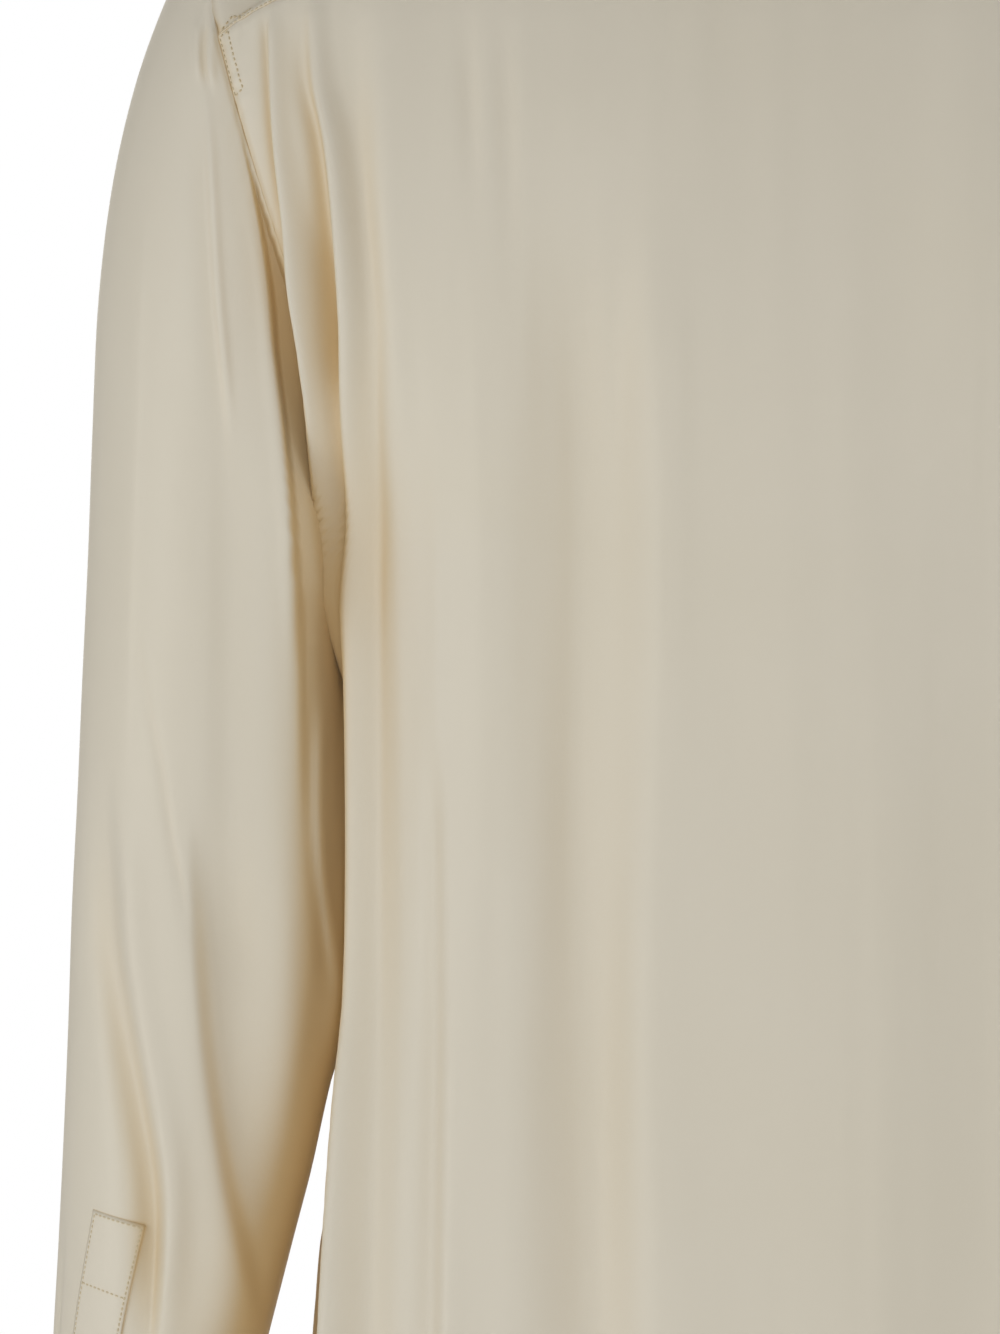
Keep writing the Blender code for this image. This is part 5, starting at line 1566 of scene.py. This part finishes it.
# %% Rows of stitches
STITCH_PITCH, STITCH_LONG, STITCH_ACROSS, STITCH_SIDES = 0.0019, 0.0013, 0.00048, 5
STITCH_SHAPE = [(0.00, -0.00022, 0.55), (0.16, 0.00003, 1.0), (0.50, 0.00008, 1.0), (0.84, 0.00003, 1.0),
                (1.00, -0.00022, 0.55)]  # share of its length, height, share of its width
STITCH_LOOK = 0.0004  # a bar's direction is taken from this far ahead and behind
STITCH_LIFT = 0.00008
STITCH_FACES = np.array(ring_faces(len(STITCH_SHAPE), STITCH_SIDES))
FIRST_CAP = np.arange(STITCH_SIDES)[::-1]
LAST_CAP = np.arange(STITCH_SIDES) + STITCH_SIDES * (len(STITCH_SHAPE) - 1)


def stitch_bars(line, out, lift):
    """Bars along a line: their corner points, ready to be joined into one mesh."""
    length = running_length(line)
    count = max(int(length[-1] / STITCH_PITCH), 1)
    pitch = length[-1] / count
    start = (np.arange(count) + 0.5 * (1 - STITCH_LONG / STITCH_PITCH)) * pitch
    bars = []
    for share, height, width in STITCH_SHAPE:
        at = start + share * STITCH_LONG
        spot, ahead, behind = (at_lengths(at + off, length, line)
                               for off in (0.0, STITCH_LOOK, -STITCH_LOOK))
        normal = at_lengths(at, length, out)
        normal /= np.linalg.norm(normal, axis=-1, keepdims=True)
        side_way = np.cross(ahead - behind, normal)
        side_way /= np.maximum(np.linalg.norm(side_way, axis=-1, keepdims=True), TINY)
        for turn in np.arange(STITCH_SIDES) * 2 * math.pi / STITCH_SIDES + math.pi / 2:
            ring = math.cos(turn) * side_way + math.sin(turn) * normal
            bars.append(spot + normal * (lift + height) + ring * (STITCH_ACROSS / 2 * width))
    return np.stack(bars, axis=1)


def sew(name, rows, lift=SILK_THICK / 2 + STITCH_LIFT):
    """Joins rows of stitches, each a line and its way out, into one piece."""
    bars = np.concatenate([stitch_bars(line, out, lift) for line, out in rows])
    starts = np.arange(len(bars))[:, None, None] * bars.shape[1]
    quads = (STITCH_FACES[None] + starts).reshape(-1, 4).tolist()
    caps = (np.stack([FIRST_CAP, LAST_CAP])[None] + starts).reshape(-1, STITCH_SIDES).tolist()
    piece = mesh_piece(name, bars.reshape(-1, 3), quads + caps, thread)
    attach(piece, "root")
    print(name, len(bars), "stitches")


print("a stitch every", STITCH_PITCH * 1000, "mm")

# %% [markdown]
# ## Where the blouse is stitched
# The yoke is stitched close to its seam, and where it meets the sleeve a small tack keeps the corner from
# tearing: a little box in the yoke and a longer one down the armhole. The hem is turned up and stitched once.
# A curve drawn for each row would leave the cloth at the first fold, so every row is read off the panel that
# it is sewn into.

# %% Sewing the seams
EDGE_STITCH, HEM_STITCH = 0.0016, 0.0065  # in from the yoke's seams, and up from the hem
TACK_CLOSE, TACK_WIDE = 0.0007, 0.0052  # both sides of the long box, from the armhole
TACK_TOP, TACK_LONG = 0.0018, 0.0245  # and both its ends, from the yoke seam
YOKE_TACK, YOKE_TACK_CLOSE = 0.0085, 0.0008  # how far the little box reaches, and how close it starts
YOKE_END, YOKE_FRONT_END = 0.001, 0.002  # a row stops this far from the seam that it runs into
BOTH_COLUMNS = ("first_column", "last_column")


def rows_between(grid, edge, insets, starts, stops):
    """Rows at several distances from one border of a panel round the body."""
    return [grid_line(grid, edge, inset, starts=starts, stops=stops) for inset in insets]


def armhole_tack(column):
    """The long box of stitches down the armhole, on the back."""
    ends = (TACK_CLOSE, TACK_WIDE) if column == "first_column" else (-TACK_WIDE, -TACK_CLOSE)
    return [*rows_between(back_points, column, (TACK_WIDE, TACK_CLOSE), TACK_TOP, TACK_LONG),
            *rows_between(back_points, "first_row", (TACK_TOP, TACK_LONG), *ends)]


seam_part = yoke_points[:, YOKE_ARM_COLUMNS - 1:-(YOKE_ARM_COLUMNS - 1)]
yoke_rows = rows_between(seam_part, "last_row", (EDGE_STITCH,), YOKE_END, -YOKE_END)
for edge in BOTH_COLUMNS:
    yoke_rows += rows_between(yoke_points, edge, (EDGE_STITCH,), YOKE_FRONT_END, -YOKE_FRONT_END)
for ends in ((YOKE_TACK_CLOSE, YOKE_TACK), (-YOKE_TACK, -YOKE_TACK_CLOSE)):
    yoke_rows += rows_between(seam_part, "last_row", (YOKE_TACK,), *ends)
for edge in BOTH_COLUMNS:
    yoke_rows += rows_between(seam_part, edge, (YOKE_TACK_CLOSE, YOKE_TACK), -YOKE_TACK, -EDGE_STITCH)
sew("yoke_stitches", yoke_rows)
sew("armhole_tack_stitches", armhole_tack("first_column") + armhole_tack("last_column"))
sew("hem_stitches", [grid_line(grid, "last_row", HEM_STITCH)
                     for grid in (back_points, *front_points.values())])

# %% [markdown]
# ## Stitching the bands
# Stiffened bands are stitched near their edges after they are turned, which keeps both layers from shifting.
# One line round a band would need its corners turned, so each border that is sewn has a row of its own that
# stops where the next one runs. The tower has one more across it, where the slit ends.

# %% Sewing the bands
# How far in from its border each kind of band is stitched.
BAND_STITCH, TOWER_STITCH = 0.0018, 0.0013
PLACKET_STITCH, COLLAR_STITCH = 0.0022, 0.0040
TOWER_BAR = 0.0270  # from a tower's top to the row across it


def all_round(grid, inset, middle=(0.0, 0.0), edges=("first_row", "last_row", *BOTH_COLUMNS)):
    """Rows set in by one distance from each of these borders."""
    return [grid_line(grid, edge, inset, middle, inset, -inset) for edge in edges]


for side, word in SIDES:
    grid, middle = tower_grids[side], tower_middles[side]
    rows = all_round(grid, TOWER_STITCH, middle, ("first_row", *BOTH_COLUMNS))
    rows.append(grid_line(grid, "first_row", TOWER_BAR, middle, TOWER_STITCH, -TOWER_STITCH))
    sew(f"tower_{word}_stitches", rows, TOWER_THICK / 2)
    cuff_rows = all_round(cuff_grids[side], BAND_STITCH, cuff_middles[side])
    sew(f"cuff_{word}_stitches", cuff_rows, CUFF_THICK / 2)
sew("placket_stitches", all_round(placket_points, PLACKET_STITCH, edges=BOTH_COLUMNS), PLACKET_THICK / 2)
sew("collar_stitches", all_round(collar_points, COLLAR_STITCH, edges=("last_row", *BOTH_COLUMNS)),
    COLLAR_THICK / 2)
sew("stand_stitches", all_round(stand_points, BAND_STITCH), STAND_THICK / 2)

# %% [markdown]
# ## The floor
# A studio floor is painted in a matt, nearly white acrylic that shows no glints, only its rolled-on grain. It
# could be left out, but without it nothing would throw light up under the blouse.

# %% The studio floor
FLOOR_Z, FLOOR_RADIUS, FLOOR_SIDES = -1.35, 4.0, 96
FLOOR_PAINT = "#fbfaf8"
FLOOR_GRAIN = 1 / 3  # metres across an unevenness in the paint


def painted_floor():
    made, tree = new_material("painted_studio_floor")
    place = add_node(tree, "ShaderNodeTexCoord").outputs["Object"]
    grain = add_node(tree, "ShaderNodeTexNoise", {"Scale": 1 / FLOOR_GRAIN, "Detail": 2.0}, Vector=place)
    bump = add_node(tree, "ShaderNodeBump", {"Strength": 0.05, "Distance": 0.001}, Height=grain.outputs[0])
    shader = add_node(tree, "ShaderNodeBsdfPrincipled", {
        "Base Color": linear(FLOOR_PAINT),
        "Roughness": 0.8,
        "IOR": 1.5,  # acrylic paint
    }, Normal=bump.outputs[0])
    add_node(tree, "ShaderNodeOutputMaterial", Surface=shader.outputs[0])
    return made


bpy.ops.mesh.primitive_circle_add(vertices=FLOOR_SIDES, radius=FLOOR_RADIUS, fill_type="NGON",
                                  location=(0, 0, FLOOR_Z))
floor = bpy.context.object
floor.name = "studio_floor"
floor.data.materials.append(painted_floor())
print("floor at", FLOOR_Z)

# %% [markdown]
# ## Lights and room
# Silk shows its folds best in broad light that comes from the sides at the cloth's own height, with little
# from above. A single lamp would leave hard shadows. So four soft discs stand behind and beside the blouse,
# the strongest on its left side, and a wider one fills in from the front. The room is white to the camera
# but gives only a soft fill.

# %% Lights and room
LAMP_COLOUR = "#fffffa"
LAMP_AIM = Vector((0.0, 0.0, -0.35))
ROOM_FILL, ROOM_COLOUR, ROOM_SEEN = 0.31, "#fffdf9", "#ffffff"
Lamp = namedtuple("Lamp", "name place size watts")
LAMPS = [
    Lamp("broad_light", (0.2, 3.2, -0.70), 1.1, 12.4),
    Lamp("right_back_light", (-2.0, 2.4, -0.50), 1.2, 6.0),
    Lamp("left_side_light", (2.6, 1.2, -0.45), 1.2, 17.5),
    Lamp("right_side_light", (-2.7, 0.7, -0.35), 1.2, 8.0),
    Lamp("front_fill", (0.0, -2.6, 0.3), 2.0, 22.0),
]
for lamp in LAMPS:
    light = bpy.data.lights.new(lamp.name, "AREA")
    light.shape = "DISK"
    light.size = lamp.size
    light.energy = lamp.watts
    light.color = linear(LAMP_COLOUR)[:3]
    stand_in = bpy.data.objects.new(lamp.name, light)
    stand_in.location = lamp.place
    aim = LAMP_AIM - stand_in.location
    stand_in.rotation_euler = aim.to_track_quat("-Z", "Y").to_euler()
    bpy.context.scene.collection.objects.link(stand_in)

world = bpy.data.worlds.new("white_room")
bpy.context.scene.world = world
world.use_nodes = True
room = world.node_tree
room.nodes.clear()
seen = add_node(room, "ShaderNodeBackground", {"Color": linear(ROOM_SEEN), "Strength": 1.0})
fill = add_node(room, "ShaderNodeBackground", {"Color": linear(ROOM_COLOUR), "Strength": ROOM_FILL})
rays = add_node(room, "ShaderNodeLightPath")
blend = add_node(room, "ShaderNodeMixShader")
room.links.new(rays.outputs["Is Camera Ray"], blend.inputs[0])
room.links.new(fill.outputs[0], blend.inputs[1])
room.links.new(seen.outputs[0], blend.inputs[2])
add_node(room, "ShaderNodeOutputWorld", Surface=blend.outputs[0])
print(len(LAMPS), "lamps,", round(sum(lamp.watts for lamp in LAMPS), 1), "watts in all")

# %% [markdown]
# ## Camera
# Clothes are pictured from far away with a long lens, so that the near sleeve looks no larger than the back.
# An orthographic camera would look flatter still, but nobody's eye sees that way. The camera stands level
# behind the wearer's left half. The Standard view transform keeps the cloth's colours as they were picked.

# %% The camera
CAMERA_PLACE = (0.1053, 9.0, -0.315)
LENS, SENSOR_WIDTH = 684.6, 36.0  # both in millimetres
bpy.context.scene.view_settings.view_transform = "Standard"
bpy.context.scene.view_settings.look = "None"
view = bpy.data.cameras.new("portrait_lens")
view.lens = LENS
view.sensor_width = SENSOR_WIDTH
camera = bpy.data.objects.new("camera", view)
camera.location = CAMERA_PLACE
camera.rotation_euler = (math.radians(90), 0, math.radians(180))
bpy.context.scene.collection.objects.link(camera)
bpy.context.scene.camera = camera
print("camera", tuple(camera.location))
